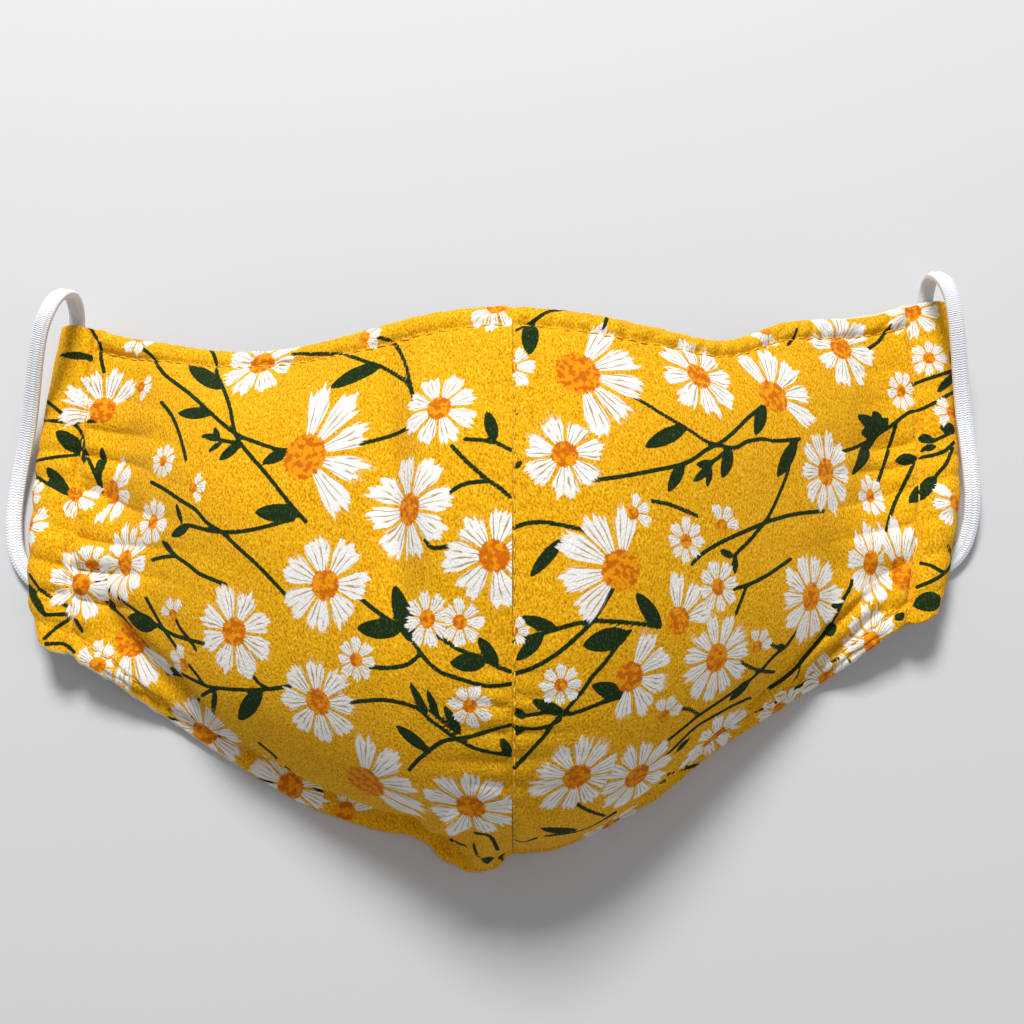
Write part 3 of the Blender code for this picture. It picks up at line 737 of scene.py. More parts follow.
# Stems: px, py along each one. A stem that crosses the centre seam is listed for each half.
STEMS = [
    ((90, 328), (100, 344), (101, 358), (104, 372)),
    ((138, 346), (152, 356), (164, 374), (190, 394), (216, 418), (236, 434), (250, 440), (276, 449),
     (290, 451)),
    ((212, 349), (217, 365), (217, 374), (224, 390), (230, 408), (233, 424), (238, 440), (254, 460),
     (268, 476), (290, 504), (306, 522)),
    ((203, 436), (220, 440), (236, 443)),
    ((161, 402), (172, 416), (180, 436), (186, 460)),
    ((47, 401), (60, 412), (74, 424), (82, 434), (86, 452), (94, 472), (102, 492)),
    ((43, 420), (70, 422), (97, 421)),
    ((34, 461), (56, 457), (76, 455)),
    ((32, 474), (48, 484), (69, 495)),
    ((151, 482), (164, 489), (180, 500), (196, 510), (206, 522), (224, 534), (234, 544), (254, 562),
     (270, 578), (290, 600)),
    ((293, 354), (332, 354), (346, 355), (364, 361), (380, 366), (396, 375), (408, 384), (414, 400)),
    ((378, 337), (394, 343), (402, 356), (407, 370), (414, 400)),
    ((361, 444), (380, 439), (396, 434), (414, 425)),
    ((452, 446), (466, 461), (488, 480), (500, 488), (510, 497)),
    ((446, 495), (456, 488), (468, 483), (489, 481)),
    ((465, 439), (480, 440), (496, 443), (511, 450)),
    ((184, 525), (192, 526), (212, 531), (236, 532), (260, 528), (294, 519)),
    ((163, 542), (176, 556), (190, 566), (200, 574), (226, 585)),
    ((152, 560), (164, 557), (176, 556)),
    ((93, 562), (102, 574), (109, 589)),
    ((90, 576), (102, 584), (116, 596), (132, 608), (158, 626), (174, 635), (190, 640), (209, 645)),
    ((106, 602), (122, 616), (134, 630), (146, 644), (160, 660), (175, 673)),
    ((146, 598), (156, 616), (164, 630), (174, 644), (180, 654)),
    ((173, 612), (180, 628), (190, 640), (196, 650)),
    ((189, 665), (196, 674), (203, 683)),
    ((29, 574), (40, 589), (56, 600), (69, 607)),
    ((44, 615), (70, 614)),
    ((44, 639), (56, 628), (68, 620), (72, 614)),
    ((73, 616), (82, 631)),
    ((46, 644), (64, 644), (74, 652)),
    ((182, 674), (204, 685), (218, 688), (246, 690), (270, 689), (291, 686)),
    ((253, 676), (260, 684), (269, 689)),
    ((193, 717), (194, 708), (198, 700), (206, 693), (216, 689)),
    ((216, 736), (238, 736)),
    ((259, 743), (276, 757), (292, 772), (306, 782), (322, 792)),
    ((346, 703), (364, 701), (384, 700), (406, 704), (420, 710), (430, 720), (454, 737), (466, 744),
     (480, 750), (510, 756)),
    ((430, 710), (444, 722), (459, 733)),
    ((409, 770), (418, 760), (429, 751), (438, 744), (448, 740), (464, 738), (476, 735), (492, 730),
     (511, 725)),
    ((400, 629), (410, 638), (420, 652), (428, 662), (440, 672), (454, 677), (466, 681), (480, 685),
     (496, 686), (511, 684)),
    ((370, 667), (388, 668), (406, 665), (416, 658), (420, 652)),
    ((358, 596), (372, 608), (386, 618), (398, 626)),
    ((425, 540), (430, 547), (438, 548), (448, 546)),
    ((438, 636), (450, 644), (462, 651), (482, 658), (496, 666), (511, 672)),
    ((475, 833), (490, 836), (498, 850)),
    ((450, 840), (466, 846)),
    ((566, 310), (550, 311), (540, 316), (530, 324), (515, 331)),
    ((607, 318), (603, 328)),
    ((634, 397), (648, 405), (662, 414), (686, 428), (698, 436), (710, 443), (734, 448), (746, 442),
     (762, 439), (776, 441), (800, 439)),
    ((594, 480), (612, 478), (636, 474), (656, 470), (676, 466), (692, 460), (706, 450), (720, 443),
     (734, 432), (748, 418), (763, 406)),
    ((710, 463), (718, 458), (728, 449)),
    ((789, 468), (785, 480), (780, 492), (774, 506), (767, 519), (760, 528), (750, 540), (738, 552),
     (734, 557)),
    ((797, 329), (794, 337), (788, 345)),
    ((894, 323), (884, 334), (878, 342), (868, 349)),
    ((841, 452), (854, 448), (866, 442), (876, 435), (888, 428), (900, 419), (908, 413), (922, 409),
     (936, 402), (955, 391)),
    ((896, 424), (890, 444), (884, 464), (877, 484)),
    ((954, 442), (946, 450), (934, 455), (916, 458)),
    ((914, 462), (909, 474), (903, 486), (896, 500), (890, 516), (886, 531)),
    ((936, 440), (948, 434)),
    ((953, 448), (946, 464), (936, 476), (928, 492)),
    ((954, 370), (940, 375), (924, 380), (912, 385)),
    ((514, 528), (524, 524), (540, 522), (556, 524), (576, 528), (590, 532)),
    ((514, 674), (530, 669), (546, 661), (562, 650), (578, 636), (592, 622), (604, 604), (610, 594),
     (616, 583)),
    ((514, 642), (524, 639), (536, 635), (550, 631), (564, 627), (580, 623), (600, 621), (620, 622),
     (640, 624), (660, 627)),
    ((630, 631), (620, 642), (610, 656), (602, 666), (592, 677), (584, 689), (574, 701), (562, 715),
     (552, 725), (546, 734), (536, 745), (524, 758), (514, 768)),
    ((652, 501), (668, 504), (686, 511), (697, 516)),
    ((692, 564), (702, 554), (716, 545), (730, 538), (746, 531), (762, 524), (776, 519), (796, 514),
     (824, 511)),
    ((734, 589), (750, 584), (766, 576), (778, 568), (791, 559)),
    ((747, 585), (742, 598), (736, 614)),
    ((769, 641), (774, 646), (784, 648), (792, 638), (797, 631)),
    ((784, 648), (774, 656), (762, 669), (750, 680), (736, 690), (716, 704), (698, 716), (686, 726),
     (666, 742)),
    ((740, 662), (752, 668), (762, 671), (774, 672)),
    ((853, 578), (849, 590), (843, 600), (838, 612), (830, 626), (816, 644), (804, 658), (794, 670),
     (776, 684), (756, 695), (734, 705), (716, 715), (696, 727), (676, 746), (664, 758)),
    ((826, 662), (840, 659), (853, 662)),
    ((921, 563), (932, 566), (944, 572), (952, 566)),
    ((917, 587), (930, 582), (942, 575), (950, 566), (954, 556)),
    ((520, 716), (536, 714), (556, 712), (570, 714), (586, 709), (604, 702), (624, 696)),
    ((514, 726), (528, 729), (546, 727), (560, 720)),
    ((574, 801), (580, 806), (592, 812), (606, 816)),
    ((546, 836), (576, 832), (596, 824), (616, 812)),
    ((514, 840), (524, 842), (536, 838)),
    ((676, 709), (688, 709), (698, 714)),
    ((816, 677), (796, 688), (776, 703), (756, 711)),
    ((648, 788), (668, 780)),
    ((660, 776), (686, 768)),
    ((676, 764), (688, 767), (700, 764)),
]
STEM_HALF_WIDTH = 0.47
# A flower reaches this share of its radius, and a point on none is this far off in its measure.
FLOWER_EDGE = 1.18
FAR_AWAY = 9.0
# Leaves: px, py of the base, px, py of the tip, and the full width in pixels.
LEAVES = [
    (95, 359, 59, 356, 12), (222, 389, 189, 366, 15), (212, 414, 178, 413, 12), (221, 440, 203, 435, 7),
    (219, 440, 214, 427, 6), (222, 442, 208, 452, 6), (240, 444, 219, 460, 11), (82, 452, 56, 431, 15),
    (76, 442, 84, 464, 9), (102, 493, 102, 447, 11), (69, 496, 46, 467, 12), (380, 366, 330, 388, 17),
    (290, 450, 262, 463, 13), (495, 441, 487, 411, 12), (182, 524, 176, 503, 6), (189, 526, 171, 536, 10),
    (156, 627, 128, 617, 17), (116, 612, 105, 596, 7), (172, 552, 162, 541, 7), (46, 616, 26, 586, 12),
    (182, 676, 166, 674, 16), (216, 691, 221, 727, 13), (262, 689, 239, 720, 16),
    (190, 737, 160, 716, 11), (279, 789, 252, 784, 9), (427, 715, 410, 682, 9), (438, 717, 427, 689, 8),
    (460, 732, 444, 705, 10), (429, 751, 396, 726, 13), (411, 642, 394, 585, 18),
    (413, 640, 407, 602, 11), (401, 630, 357, 628, 18), (300, 514, 255, 512, 17),
    (486, 662, 450, 663, 17), (498, 665, 478, 637, 12), (492, 862, 474, 842, 14),
    (510, 757, 501, 737, 10), (502, 854, 510, 868, 9), (513, 858, 527, 857, 5), (531, 321, 529, 355, 16),
    (686, 427, 645, 447, 15), (684, 462, 668, 492, 12), (765, 405, 755, 435, 13),
    (731, 449, 722, 478, 13), (714, 463, 696, 465, 8), (712, 466, 693, 482, 8), (711, 467, 707, 487, 7),
    (797, 441, 777, 477, 14), (882, 428, 857, 416, 13), (880, 424, 873, 411, 12),
    (884, 430, 861, 433, 14), (878, 430, 888, 418, 10), (877, 436, 852, 475, 13),
    (916, 458, 895, 461, 11), (937, 441, 912, 436, 9), (936, 446, 920, 452, 8), (955, 431, 940, 427, 12),
    (936, 477, 909, 503, 15), (953, 373, 937, 393, 10), (953, 371, 950, 351, 6), (562, 539, 530, 577, 12),
    (558, 630, 520, 617, 12), (543, 634, 516, 661, 13), (628, 634, 583, 646, 21),
    (661, 628, 636, 593, 15), (734, 557, 719, 550, 7), (735, 556, 735, 574, 8), (844, 602, 831, 607, 8),
    (838, 613, 818, 659, 10), (800, 665, 775, 698, 11), (904, 613, 895, 620, 9), (941, 598, 913, 607, 19),
    (948, 543, 953, 558, 6), (565, 714, 531, 700, 12), (626, 696, 592, 685, 16), (514, 708, 525, 719, 9),
    (514, 735, 525, 727, 7), (577, 830, 540, 828, 11), (750, 680, 729, 701, 12), (515, 415, 518, 413, 4),
    (514, 469, 522, 461, 6), (634, 804, 634, 809, 5), (676, 752, 690, 738, 8), (784, 648, 778, 645, 6),
]


def sight_lines(points):
    """Photo pixels of drawing points, and their distance along the camera's axis."""
    ahead = np.array([0.0, math.cos(CAMERA_ELEVATION), -math.sin(CAMERA_ELEVATION)])
    upward = np.array([0.0, math.sin(CAMERA_ELEVATION), math.cos(CAMERA_ELEVATION)])
    away = points - CAMERA_PLACE
    depth = away @ ahead
    px = PHOTO_SIZE / 2 + FOCAL_PIXELS * away[..., 0] / depth
    py = PHOTO_SIZE / 2 - FOCAL_PIXELS * (away @ upward) / depth
    return px, py, depth


def place_on_cloth(pixels, shown, slopes):
    """The cloth point that shows at each pixel: the nearest grid point and the step from it to the exact
    place, found from the slopes of the grid there. Also that grid point's number and its miss in pixels."""
    px, py, points = shown
    pixels = np.array(pixels, dtype=float)
    found = np.array([np.argmin(np.hypot(px - pixel[0], py - pixel[1])) for pixel in pixels])
    miss_x, miss_y = pixels[:, 0] - px[found], pixels[:, 1] - py[found]
    off = np.hypot(miss_x, miss_y)
    at_found = [(by_row[found], by_column[found]) for by_row, by_column in slopes]
    (x_row, x_column), (y_row, y_column), (step_row, step_column) = at_found
    area = x_row * y_column - x_column * y_row
    area = np.where(np.abs(area) < 0.5, np.inf, area)
    rows = np.clip((miss_x * y_column - x_column * miss_y) / area, -1, 1)
    columns = np.clip((x_row * miss_y - miss_x * y_row) / area, -1, 1)
    place = points[found] + rows[:, None] * step_row + columns[:, None] * step_column
    return place, found, off


def print_on(side, half, points, normals, faces):
    """Writes the print's coordinates on the cloth.

    flower holds each corner's place in its flower as shares of the radius, x towards the middle of the
    fan, and then 1 in a large open fan. flower_kind holds that flower's petals, its half angle in radians
    and a number of its own. green is the distance in millimetres to the nearest stem or leaf, negative
    inside it.
    """
    flat_points, flat_normals = points.reshape(-1, 3), normals.reshape(-1, 3)
    facing = ((CAMERA_PLACE - flat_points) * flat_normals).sum(axis=1) > 0
    px, py, depth = sight_lines(points)
    slopes = [[part.ravel() for part in np.gradient(value)] for value in (px, py)]
    slopes.append([np.gradient(points, axis=axis).reshape(-1, 3) for axis in (0, 1)])
    shown = (np.where(facing, px.ravel(), -1e4), py.ravel(), flat_points)
    depth = depth.ravel()
    middle = flat_points[faces].mean(axis=1)
    corners = flat_points[faces]
    best = np.full(len(faces), FLOWER_EDGE)
    flower = np.full((len(faces), 4, 3), FAR_AWAY)
    kind = np.zeros((len(faces), 4, 3))
    for number, motif in enumerate(FLOWERS):
        if motif.half != side.name:
            continue
        place, found, _ = place_on_cloth([(motif.px, motif.py)], shown, slopes)
        centre, normal = place[0], flat_normals[found[0]]
        level = unit(np.array([1.0, 0.0, 0.0]) - normal[0] * normal)
        upward = np.cross(normal, level)
        turn = math.radians(motif.facing)

        def in_flower(spots):
            away = spots - centre
            beside, over = away @ level / motif.squash, away @ upward
            facing_way = beside * math.cos(turn) + over * math.sin(turn)
            sideways = over * math.cos(turn) - beside * math.sin(turn)
            off_plane = (away @ normal)[..., None] ** 2
            flat = np.stack([facing_way, sideways], axis=-1)
            reach = (flat**2).sum(axis=-1, keepdims=True) + 1e-9
            return flat * np.sqrt(1.0 + off_plane / reach) / motif.radius

        spot = in_flower(middle)
        reach = np.linalg.norm(spot, axis=1)
        open_angle = np.abs(np.arctan2(spot[:, 1], spot[:, 0])) < math.radians(motif.fan + 12)
        mine = (reach < best) & (open_angle | (reach < 0.4))
        best[mine] = reach[mine]
        flower[mine, :, :2] = in_flower(corners[mine])
        flower[mine, :, 2] = 1.0 if motif.fan < 120 and motif.radius > 7.0 else 0.0
        kind[mine] = (motif.petals, math.radians(motif.fan), number)
    green = np.full(len(flat_points), FAR_AWAY)
    seam_pixel = PHOTO_SIZE / 2
    for stem in STEMS:
        if (np.mean([spot[0] for spot in stem]) < seam_pixel) != (side.sign < 0):
            continue
        route = smooth_route(np.array([(*spot, 0.0) for spot in stem]), 3)[:, :2]
        place, _, off = place_on_cloth(route, shown, slopes)
        along = place[off < 6.0]
        for start, end in zip(along[:-1], along[1:]):
            green = np.minimum(green, capsule(flat_points, start, end, STEM_HALF_WIDTH))
    for base_x, base_y, tip_x, tip_y, width in LEAVES:
        if ((base_x + tip_x) / 2 < seam_pixel) != (side.sign < 0):
            continue
        (base, tip), found, _ = place_on_cloth([(base_x, base_y), (tip_x, tip_y)], shown, slopes)
        half_width = width / 2 * depth[found].mean() / FOCAL_PIXELS
        green = np.minimum(green, leaf_distance(flat_points, base, tip, half_width))
    mesh = half.data
    layer = mesh.attributes.new("flower", "FLOAT_VECTOR", "CORNER")
    layer.data.foreach_set("vector", flower.ravel())
    layer = mesh.attributes.new("flower_kind", "FLOAT_VECTOR", "CORNER")
    layer.data.foreach_set("vector", kind.ravel())
    layer = mesh.attributes.new("green", "FLOAT", "POINT")
    layer.data.foreach_set("value", green)


def capsule(spots, start, end, half_width):
    """Distance of each spot to the line from start to end, less half_width."""
    line = end - start
    share = np.clip((spots - start) @ line / max(line @ line, 1e-9), 0.0, 1.0)
    return np.linalg.norm(spots - start - share[:, None] * line, axis=1) - half_width


def leaf_distance(spots, base, tip, half_width):
    """Distance of each spot to a leaf that swells from its base and narrows to a pointed tip."""
    line = tip - base
    share = np.clip((spots - base) @ line / max(line @ line, 1e-9), 0.0, 1.0)
    swell = 1.12 * np.sin(math.pi * share**0.9) ** 0.62
    return np.linalg.norm(spots - base - share[:, None] * line, axis=1) - half_width * swell


# Inks and cloth colours of the print, as linear red, green and blue.
MUSTARD = (0.84, 0.42, 0.004)
# The lighter and darker mustards are partly the crepe's uneven yarn, partly painted highlight on its raised
# grains and painted shade in its hollows.
MUSTARD_GRAIN_AND_HIGHLIGHT = (0.98, 0.63, 0.040)
MUSTARD_GRAIN_AND_SHADE = (0.56, 0.21, 0.001)
PETAL_WHITE = (0.88, 0.86, 0.82)
PETAL_STROKE = (0.46, 0.27, 0.06)
MIDDLE_ORANGE = (0.86, 0.31, 0.004)
MIDDLE_DEEP = (0.60, 0.14, 0.002)
STEM_GREEN = (0.010, 0.024, 0.005)
STEM_SPECKLE = (0.030, 0.065, 0.014)
CREAM = (0.80, 0.70, 0.52)
PETAL_REACH = 1.09
PETAL_LENGTH_SPREAD = 0.15
PETAL_START = 0.30
STROKES = 4.5
MIDDLE_RADIUS = 0.345
CREPE_SIZE = 0.00040
CREPE_DEPTH = 0.00026


def attribute(tree, name, output):
    """A value that print_on wrote on the cloth."""
    node = tree.nodes.new("ShaderNodeAttribute")
    node.attribute_name = name
    return node.outputs[output]


def printed_cotton():
    """Crepe cotton with the printed daisies.

    Around its flower a point has a reach, its distance from the middle, and a share c of the way from a
    petal's midline (0) to halfway to the next (1). A petal is where (reach / tip)^6 + (c / fullness)^3 < 1,
    and its fullness falls towards the middle. Noise that runs outward makes the edge ragged, and thin
    golden strokes run out along each petal.
    """
    material, tree, shader = new_material("printed_cotton_crepe")
    coordinates = object_place(tree)

    x, y, open_fan = split(tree, attribute(tree, "flower", "Vector"))
    petals, fan, number = split(tree, attribute(tree, "flower_kind", "Vector"))
    petals = calc(tree, "MAXIMUM", petals, 1.0)
    reach = calc(tree, "ADD", calc(tree, "MULTIPLY", x, x), calc(tree, "MULTIPLY", y, y))
    reach = calc(tree, "SQRT", reach)
    angle = calc(tree, "ARCTAN2", y, x)
    turns = calc(tree, "MULTIPLY", calc(tree, "DIVIDE", angle, 2 * math.pi), petals)
    index = calc(tree, "ROUND", turns)
    which = calc(tree, "FLOORED_MODULO", calc(tree, "ADD", index, petals), petals)
    chance = tree.nodes.new("ShaderNodeTexWhiteNoise")
    tree.links.new(join(tree, which, number, 0.5), chance.inputs["Vector"])
    red, green, _ = split(tree, chance.outputs["Color"])
    off_line = calc(tree, "SUBTRACT", turns, index)
    off_line = calc(tree, "ADD", off_line, calc(tree, "MULTIPLY", calc(tree, "SUBTRACT", green, 0.5), 0.10))
    to_gap = calc(tree, "MINIMUM", calc(tree, "MULTIPLY", calc(tree, "ABSOLUTE", off_line), 2.0), 1.2)
    spacing = calc(tree, "DIVIDE", 2 * math.pi, petals)
    tip = calc(tree, "SUBTRACT", PETAL_REACH, calc(tree, "MULTIPLY", red, PETAL_LENGTH_SPREAD))
    fullness = calc(tree, "SUBTRACT", 0.91, calc(tree, "MULTIPLY", open_fan, 0.02))
    narrowing = calc(tree, "ADD", 0.80, calc(tree, "MULTIPLY", ramp(tree, reach, PETAL_START, 0.8), 0.20))
    beside = calc(tree, "DIVIDE", to_gap, calc(tree, "MULTIPLY", fullness, narrowing))
    outward = calc(tree, "DIVIDE", reach, tip)
    around = calc(tree, "MULTIPLY", turns, 7.0)
    flower_number = calc(tree, "MULTIPLY", number, 3.7)
    streak_place = join(tree, around, calc(tree, "MULTIPLY", reach, 1.3), flower_number)
    streak = noise(tree, streak_place, 1.0, 2.0, 0.6)
    ragged = calc(tree, "MULTIPLY", calc(tree, "SUBTRACT", streak, 0.5), ramp(tree, reach, 0.2, 0.8))
    outward = calc(tree, "ADD", outward, calc(tree, "MULTIPLY", ragged, 0.62))
    beside = calc(tree, "ADD", beside, calc(tree, "MULTIPLY", ragged, 0.22))
    outward = calc(tree, "POWER", calc(tree, "MAXIMUM", outward, 0.0), 6.0)
    beside = calc(tree, "POWER", calc(tree, "MAXIMUM", beside, 0.0), 3.0)
    edge = calc(tree, "ADD", outward, beside)
    petal = ramp(tree, edge, 1.12, 0.88)
    from_middle = calc(tree, "MULTIPLY", calc(tree, "ABSOLUTE", index), spacing)
    in_fan = calc(tree, "LESS_THAN", from_middle, calc(tree, "ADD", fan, 0.05))
    inside = calc(tree, "LESS_THAN", reach, 1.25)
    petal = calc(tree, "MULTIPLY", calc(tree, "MULTIPLY", petal, in_fan), inside)
    broken_place = join(tree, around, calc(tree, "MULTIPLY", reach, 2.4), calc(tree, "ADD", number, 40.0))
    broken = noise(tree, broken_place, 1.0, 1.0)
    line = calc(tree, "ADD", calc(tree, "MULTIPLY", turns, STROKES), calc(tree, "MULTIPLY", broken, 0.9))
    line = calc(tree, "SINE", calc(tree, "MULTIPLY", line, 2 * math.pi))
    stroke = calc(tree, "MULTIPLY", ramp(tree, line, 0.50, 0.95), ramp(tree, broken, 0.34, 0.46))
    stroke = calc(tree, "MULTIPLY", stroke, calc(tree, "MULTIPLY", ramp(tree, reach, 1.02, 0.72), 0.9))

    grain = noise(tree, coordinates, 1 / 0.0006, 2.0)
    blotch = noise(tree, coordinates, 1 / 0.0013, 2.0)
    crepe_place = tree.nodes.new("ShaderNodeMapping")
    crepe_place.inputs["Rotation"].default_value = (0.0, 0.0, math.radians(35))
    crepe_place.inputs["Scale"].default_value = (1.0, 0.6, 1.0)
    tree.links.new(coordinates, crepe_place.inputs["Vector"])
    crepe = noise(tree, crepe_place.outputs["Vector"], 1 / CREPE_SIZE, 2.0, 0.55)
    # The crepe's mottle follows its bump: uneven yarn tone, with painted shade in the hollows and painted
    # highlight on the raised grains.
    colour = blend_colours(tree, ramp(tree, crepe, 0.52, 0.32), MUSTARD, MUSTARD_GRAIN_AND_SHADE)
    colour = blend_colours(tree, ramp(tree, crepe, 0.56, 0.70), colour, MUSTARD_GRAIN_AND_HIGHLIGHT)
    stem_edge = calc(tree, "MULTIPLY", calc(tree, "SUBTRACT", grain, 0.5), 0.3)
    stem = ramp(tree, calc(tree, "ADD", attribute(tree, "green", "Fac"), stem_edge), 0.1, -0.1)
    leaf_colour = blend_colours(tree, ramp(tree, crepe, 0.52, 0.68), STEM_GREEN, STEM_SPECKLE)
    colour = blend_colours(tree, stem, colour, leaf_colour)
    petal_colour = blend_colours(tree, stroke, PETAL_WHITE, PETAL_STROKE)
    colour = blend_colours(tree, petal, colour, petal_colour)
    uneven = calc(tree, "MULTIPLY", calc(tree, "SUBTRACT", streak, 0.5), 0.16)
    middle_edge = calc(tree, "ADD", reach, uneven)
    middle_spot = ramp(tree, middle_edge, MIDDLE_RADIUS + 0.02, MIDDLE_RADIUS - 0.02)
    middle_colour = blend_colours(tree, ramp(tree, blotch, 0.42, 0.58), MIDDLE_ORANGE, MIDDLE_DEEP)
    colour = blend_colours(tree, middle_spot, colour, middle_colour)
    colour = blend_colours(tree, attribute(tree, "lining_edge", "Fac"), colour, CREAM)
    tree.links.new(colour, shader.inputs["Base Color"])
    tree.links.new(bump(tree, crepe, CREPE_DEPTH), shader.inputs["Normal"])
    shader.inputs["Roughness"].default_value = 0.9
    shader.inputs["Specular IOR Level"].default_value = 0.1
    shader.inputs["Sheen Weight"].default_value = 0.03
    return material


PRINTED_COTTON = printed_cotton()


# Each half, sewn: the shape with its seams and puckers, the turned edges, then the print.
STITCH_LINES = []
# How far the hem sinks left of the seam under the chin, where in x, and over what reach.
CHIN_DROP = 3.3
CHIN_DROP_X = -8.0
CHIN_DROP_REACH = 7.0
# From and to in x, where the cream lining comes to show on the turned edge: at the left half's hem and at
# the right half's top.
LEFT_CREAM = (-58.0, -66.0)
RIGHT_CREAM = (74.0, 80.0)
for side in (LEFT, RIGHT):
    points, from_seam, from_stitch, from_hem, from_top = cloth_grid(side, COLUMNS, ROWS, stitched=True)
    normals = normals_of(side, points)
    places = (side, points, from_seam, from_stitch, from_hem, from_top)
    height = soft_shape(*places) + sewn_shape(*places)
    points = points + height[..., None] * normals
    drop = CHIN_DROP * bell(points[..., 0], CHIN_DROP_X, CHIN_DROP_REACH) * smooth_step(16.0, 0.0, from_hem)
    points[..., 1] -= drop * smooth_step(0.0, -3.0, points[..., 0])
    normals = normals_of(side, points)
    row = (HEM_STITCH - EDGE_ROLL) / (from_hem[-1] - EDGE_ROLL) * (ROWS - 1)
    panel = np.arange(2, COLUMNS - 1)
    for rows in (row[panel], (ROWS - 1) - row[panel]):
        low = rows.astype(int)
        share = (rows - low)[:, None]
        line = points[low, panel] * (1 - share) + points[low + 1, panel] * share
        STITCH_LINES.append((side, line, normals[low, panel]))
    STITCH_LINES.append((side, points[2:-2, COLUMNS - 1], normals[2:-2, COLUMNS - 1]))
    if side.sign > 0:
        STITCH_LINES.append((side, points[6:-6, 1], normals[6:-6, 1]))
    on_casing = smooth_step(0.5, -1.5, from_stitch[0])
    radius = EDGE_ROLL + (MOUTH_ROLL - EDGE_ROLL) * on_casing
    hem_roll, top_roll = end_rolls(side, points, normals, radius, TURNED_UNDER + 0 * radius)
    points = np.concatenate([hem_roll[::-1], points, top_roll])
    points[..., 2] = np.maximum(points[..., 2], 0.02)
    lining_edge = np.zeros(points.shape[:2])
    if side.sign < 0:
        lining_edge[: len(hem_roll)] = smooth_step(*LEFT_CREAM, points[: len(hem_roll), :, 0])
        points, lining_edge = points[:, ::-1], lining_edge[:, ::-1]
    else:
        lining_edge[-len(top_roll) :] = smooth_step(*RIGHT_CREAM, points[-len(top_roll) :, :, 0])
    middle_row, middle_column = points[len(points) // 2], points[:, points.shape[1] // 2]
    columns_uv, rows_uv = run_along(middle_row), run_along(middle_column)
    uv = np.stack(np.meshgrid(columns_uv, rows_uv), axis=-1) / max(columns_uv[-1], rows_uv[-1])
    half, faces = grid_mesh(f"cloth_{side.name}", points, uv)
    normals = normals_of(side, points) * (1 if side.sign > 0 else -1)
    print_on(side, half, points, normals, faces)
    layer = half.data.attributes.new("lining_edge", "FLOAT", "POINT")
    layer.data.foreach_set("value", lining_edge.ravel())
    half.data.materials.append(PRINTED_COTTON)
    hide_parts(f"front_{side.name}", f"casing_{side.name}")
    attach(half, "root")


# Topstitching: one line of lockstitches in mustard polyester thread along the top, along the hem, down each
# casing and beside the centre seam. A stitch is a short bowed length of thread that goes into the cloth at
# both ends.
STITCH_PITCH = 3.0
STITCH_LENGTH = 2.35
STITCH_MARGIN = 0.6
THREAD_RADIUS = 0.21
THREAD_SIDES = 6
STITCH_RISE = np.array([-0.12, 0.14, 0.20, 0.14, -0.12])
STITCH_GIRTH = np.array([0.55, 1.0, 1.0, 1.0, 0.55])


def thread_material():
    """Mustard polyester thread: two shades mixed by fine noise, with a faint twist in its surface."""
    material, tree, shader = new_material("mustard_thread")
    twist = noise(tree, object_place(tree), 1 / 0.0003, 1.0)
    colour = blend_colours(tree, ramp(tree, twist, 0.35, 0.65), (0.60, 0.27, 0.004), (0.95, 0.58, 0.03))
    tree.links.new(colour, shader.inputs["Base Color"])
    tree.links.new(bump(tree, twist, 0.00005), shader.inputs["Normal"])
    shader.inputs["Roughness"].default_value = 0.6
    return material


THREAD = thread_material()
for side in (LEFT, RIGHT):
    rings = []
    for _, line, upward in [found for found in STITCH_LINES if found[0] is side]:
        run = run_along(line)
        starts = np.arange(STITCH_MARGIN, run[-1] - STITCH_LENGTH - STITCH_MARGIN, STITCH_PITCH)
        spots = starts[:, None] + STITCH_LENGTH * np.linspace(0.0, 1.0, len(STITCH_RISE))
        centres = np.stack([np.interp(spots, run, line[:, axis]) for axis in range(3)], axis=-1)
        up = unit(np.stack([np.interp(spots, run, upward[:, axis]) for axis in range(3)], axis=-1))
        ahead = unit(np.gradient(centres, axis=1))
        beside = unit(np.cross(ahead, up))
        up = np.cross(beside, ahead)
        centres = centres + up * STITCH_RISE[:, None]
        turn = np.linspace(0.0, 2 * math.pi, THREAD_SIDES, endpoint=False)[:, None]
        girth = (THREAD_RADIUS * STITCH_GIRTH)[:, None, None]
        ring = np.cos(turn) * beside[..., None, :] + np.sin(turn) * up[..., None, :]
        rings.append(centres[..., None, :] + girth * ring)
    rings = np.concatenate(rings)
    count, steps, sides = rings.shape[:3]
    index = np.arange(count * steps * sides).reshape(count, steps, sides)
    after = np.roll(index, -1, axis=2)
    quads = np.stack([index[:, :-1], index[:, 1:], after[:, 1:], after[:, :-1]], axis=-1).reshape(-1, 4)
    ends = np.concatenate([index[:, 0], index[:, -1, ::-1]])
    mesh = bpy.data.meshes.new(f"stitches_{side.name}")
    mesh.from_pydata(in_frame(rings.reshape(-1, 3)).tolist(), [], quads.tolist() + ends.tolist())
    mesh.shade_smooth()
    stitches = bpy.data.objects.new(f"stitches_{side.name}", mesh)
    bpy.context.scene.collection.objects.link(stitches)
    mesh.materials.append(THREAD)
    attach(stitches, "root")


# Linings: plain cream cotton, cut like the printed halves and sewn in behind them.
LINING_BACK = 2.1
LINING_COLUMNS = 90
LINING_ROWS = 110
WEAVE_PITCH = 0.00036


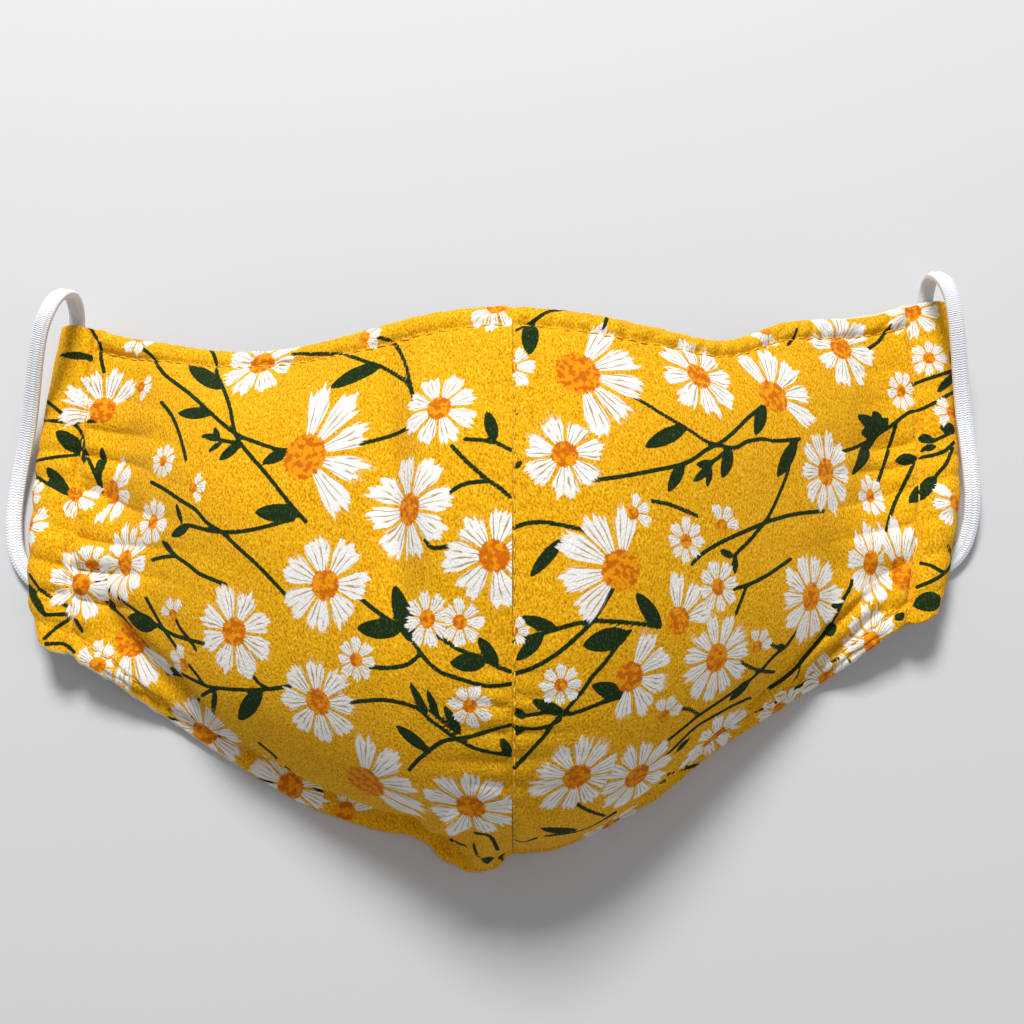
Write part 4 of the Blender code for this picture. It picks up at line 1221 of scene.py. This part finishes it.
def lining_material():
    """Plain weave: the product of two sines at right angles, with slubs of noise."""
    material, tree, shader = new_material("lining_cotton")
    coordinates = object_place(tree)
    x, y, _ = split(tree, coordinates)
    over = calc(tree, "SINE", calc(tree, "MULTIPLY", x, math.pi / WEAVE_PITCH))
    under = calc(tree, "SINE", calc(tree, "MULTIPLY", y, math.pi / WEAVE_PITCH))
    slubs = noise(tree, coordinates, 1 / 0.0012, 3.0)
    weave = calc(tree, "ADD", calc(tree, "MULTIPLY", over, under), slubs)
    colour = blend_colours(tree, ramp(tree, weave, -0.6, 1.4), (0.70, 0.60, 0.44), (0.86, 0.79, 0.66))
    tree.links.new(colour, shader.inputs["Base Color"])
    tree.links.new(bump(tree, weave, 0.00008), shader.inputs["Normal"])
    shader.inputs["Roughness"].default_value = 0.9
    shader.inputs["Specular IOR Level"].default_value = 0.15
    return material


LINING_COTTON = lining_material()
for side in (LEFT, RIGHT):
    points, *distances = cloth_grid(side, LINING_COLUMNS, LINING_ROWS, stitched=False)
    normals = normals_of(side, points)
    height = soft_shape(side, points, *distances)[..., None]
    sheet = (points + (height - LINING_BACK) * normals)[-3:1:-1]
    sheet[..., 2] = np.maximum(sheet[..., 2], 0.1)
    if side.sign < 0:
        sheet = sheet[:, ::-1]
    shares = [np.linspace(0, 1, count) for count in (sheet.shape[1], sheet.shape[0])]
    uv = np.stack(np.meshgrid(*shares), axis=-1)
    inside, _ = grid_mesh(f"cloth_lining_{side.name}", sheet, uv)
    inside.data.materials.append(LINING_COTTON)
    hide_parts(f"lining_{side.name}")
    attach(inside, "root")


# Floor: pale and plain.
floor_mesh = bpy.data.meshes.new("floor")
FLOOR_HALF = 3.0
corners = [(FLOOR_HALF * x, FLOOR_HALF * y, 0) for x, y in ((-1, -1), (1, -1), (1, 1), (-1, 1))]
floor_mesh.from_pydata(corners, [], [(0, 1, 2, 3)])
floor = bpy.data.objects.new("floor", floor_mesh)
bpy.context.scene.collection.objects.link(floor)
floor_material, _, floor_shader = new_material("floor")
floor_shader.inputs["Base Color"].default_value = (0.62, 0.62, 0.63, 1.0)
floor_shader.inputs["Roughness"].default_value = 0.9
floor_mesh.materials.append(floor_material)


# Light: a soft box above and beyond the mask, a weak one from the right and a pale room.
Lamp = namedtuple("Lamp", "name place size watts")
for lamp in (
    Lamp("key", (-0.12, 0.77, 0.80), 0.30, 13.8),
    Lamp("fill", (0.6, -0.2, 1.0), 0.8, 1.2),
):
    light = bpy.data.lights.new(lamp.name, "AREA")
    light.size = lamp.size
    light.energy = lamp.watts
    source = bpy.data.objects.new(lamp.name, light)
    source.location = lamp.place
    towards = -source.location
    source.rotation_euler = towards.to_track_quat("-Z", "Y").to_euler()
    bpy.context.scene.collection.objects.link(source)
world = bpy.data.worlds.new("studio")
world.use_nodes = True
world.node_tree.nodes["Background"].inputs["Color"].default_value = (0.95, 0.97, 1.0, 1.0)
world.node_tree.nodes["Background"].inputs["Strength"].default_value = 0.30
bpy.context.scene.world = world
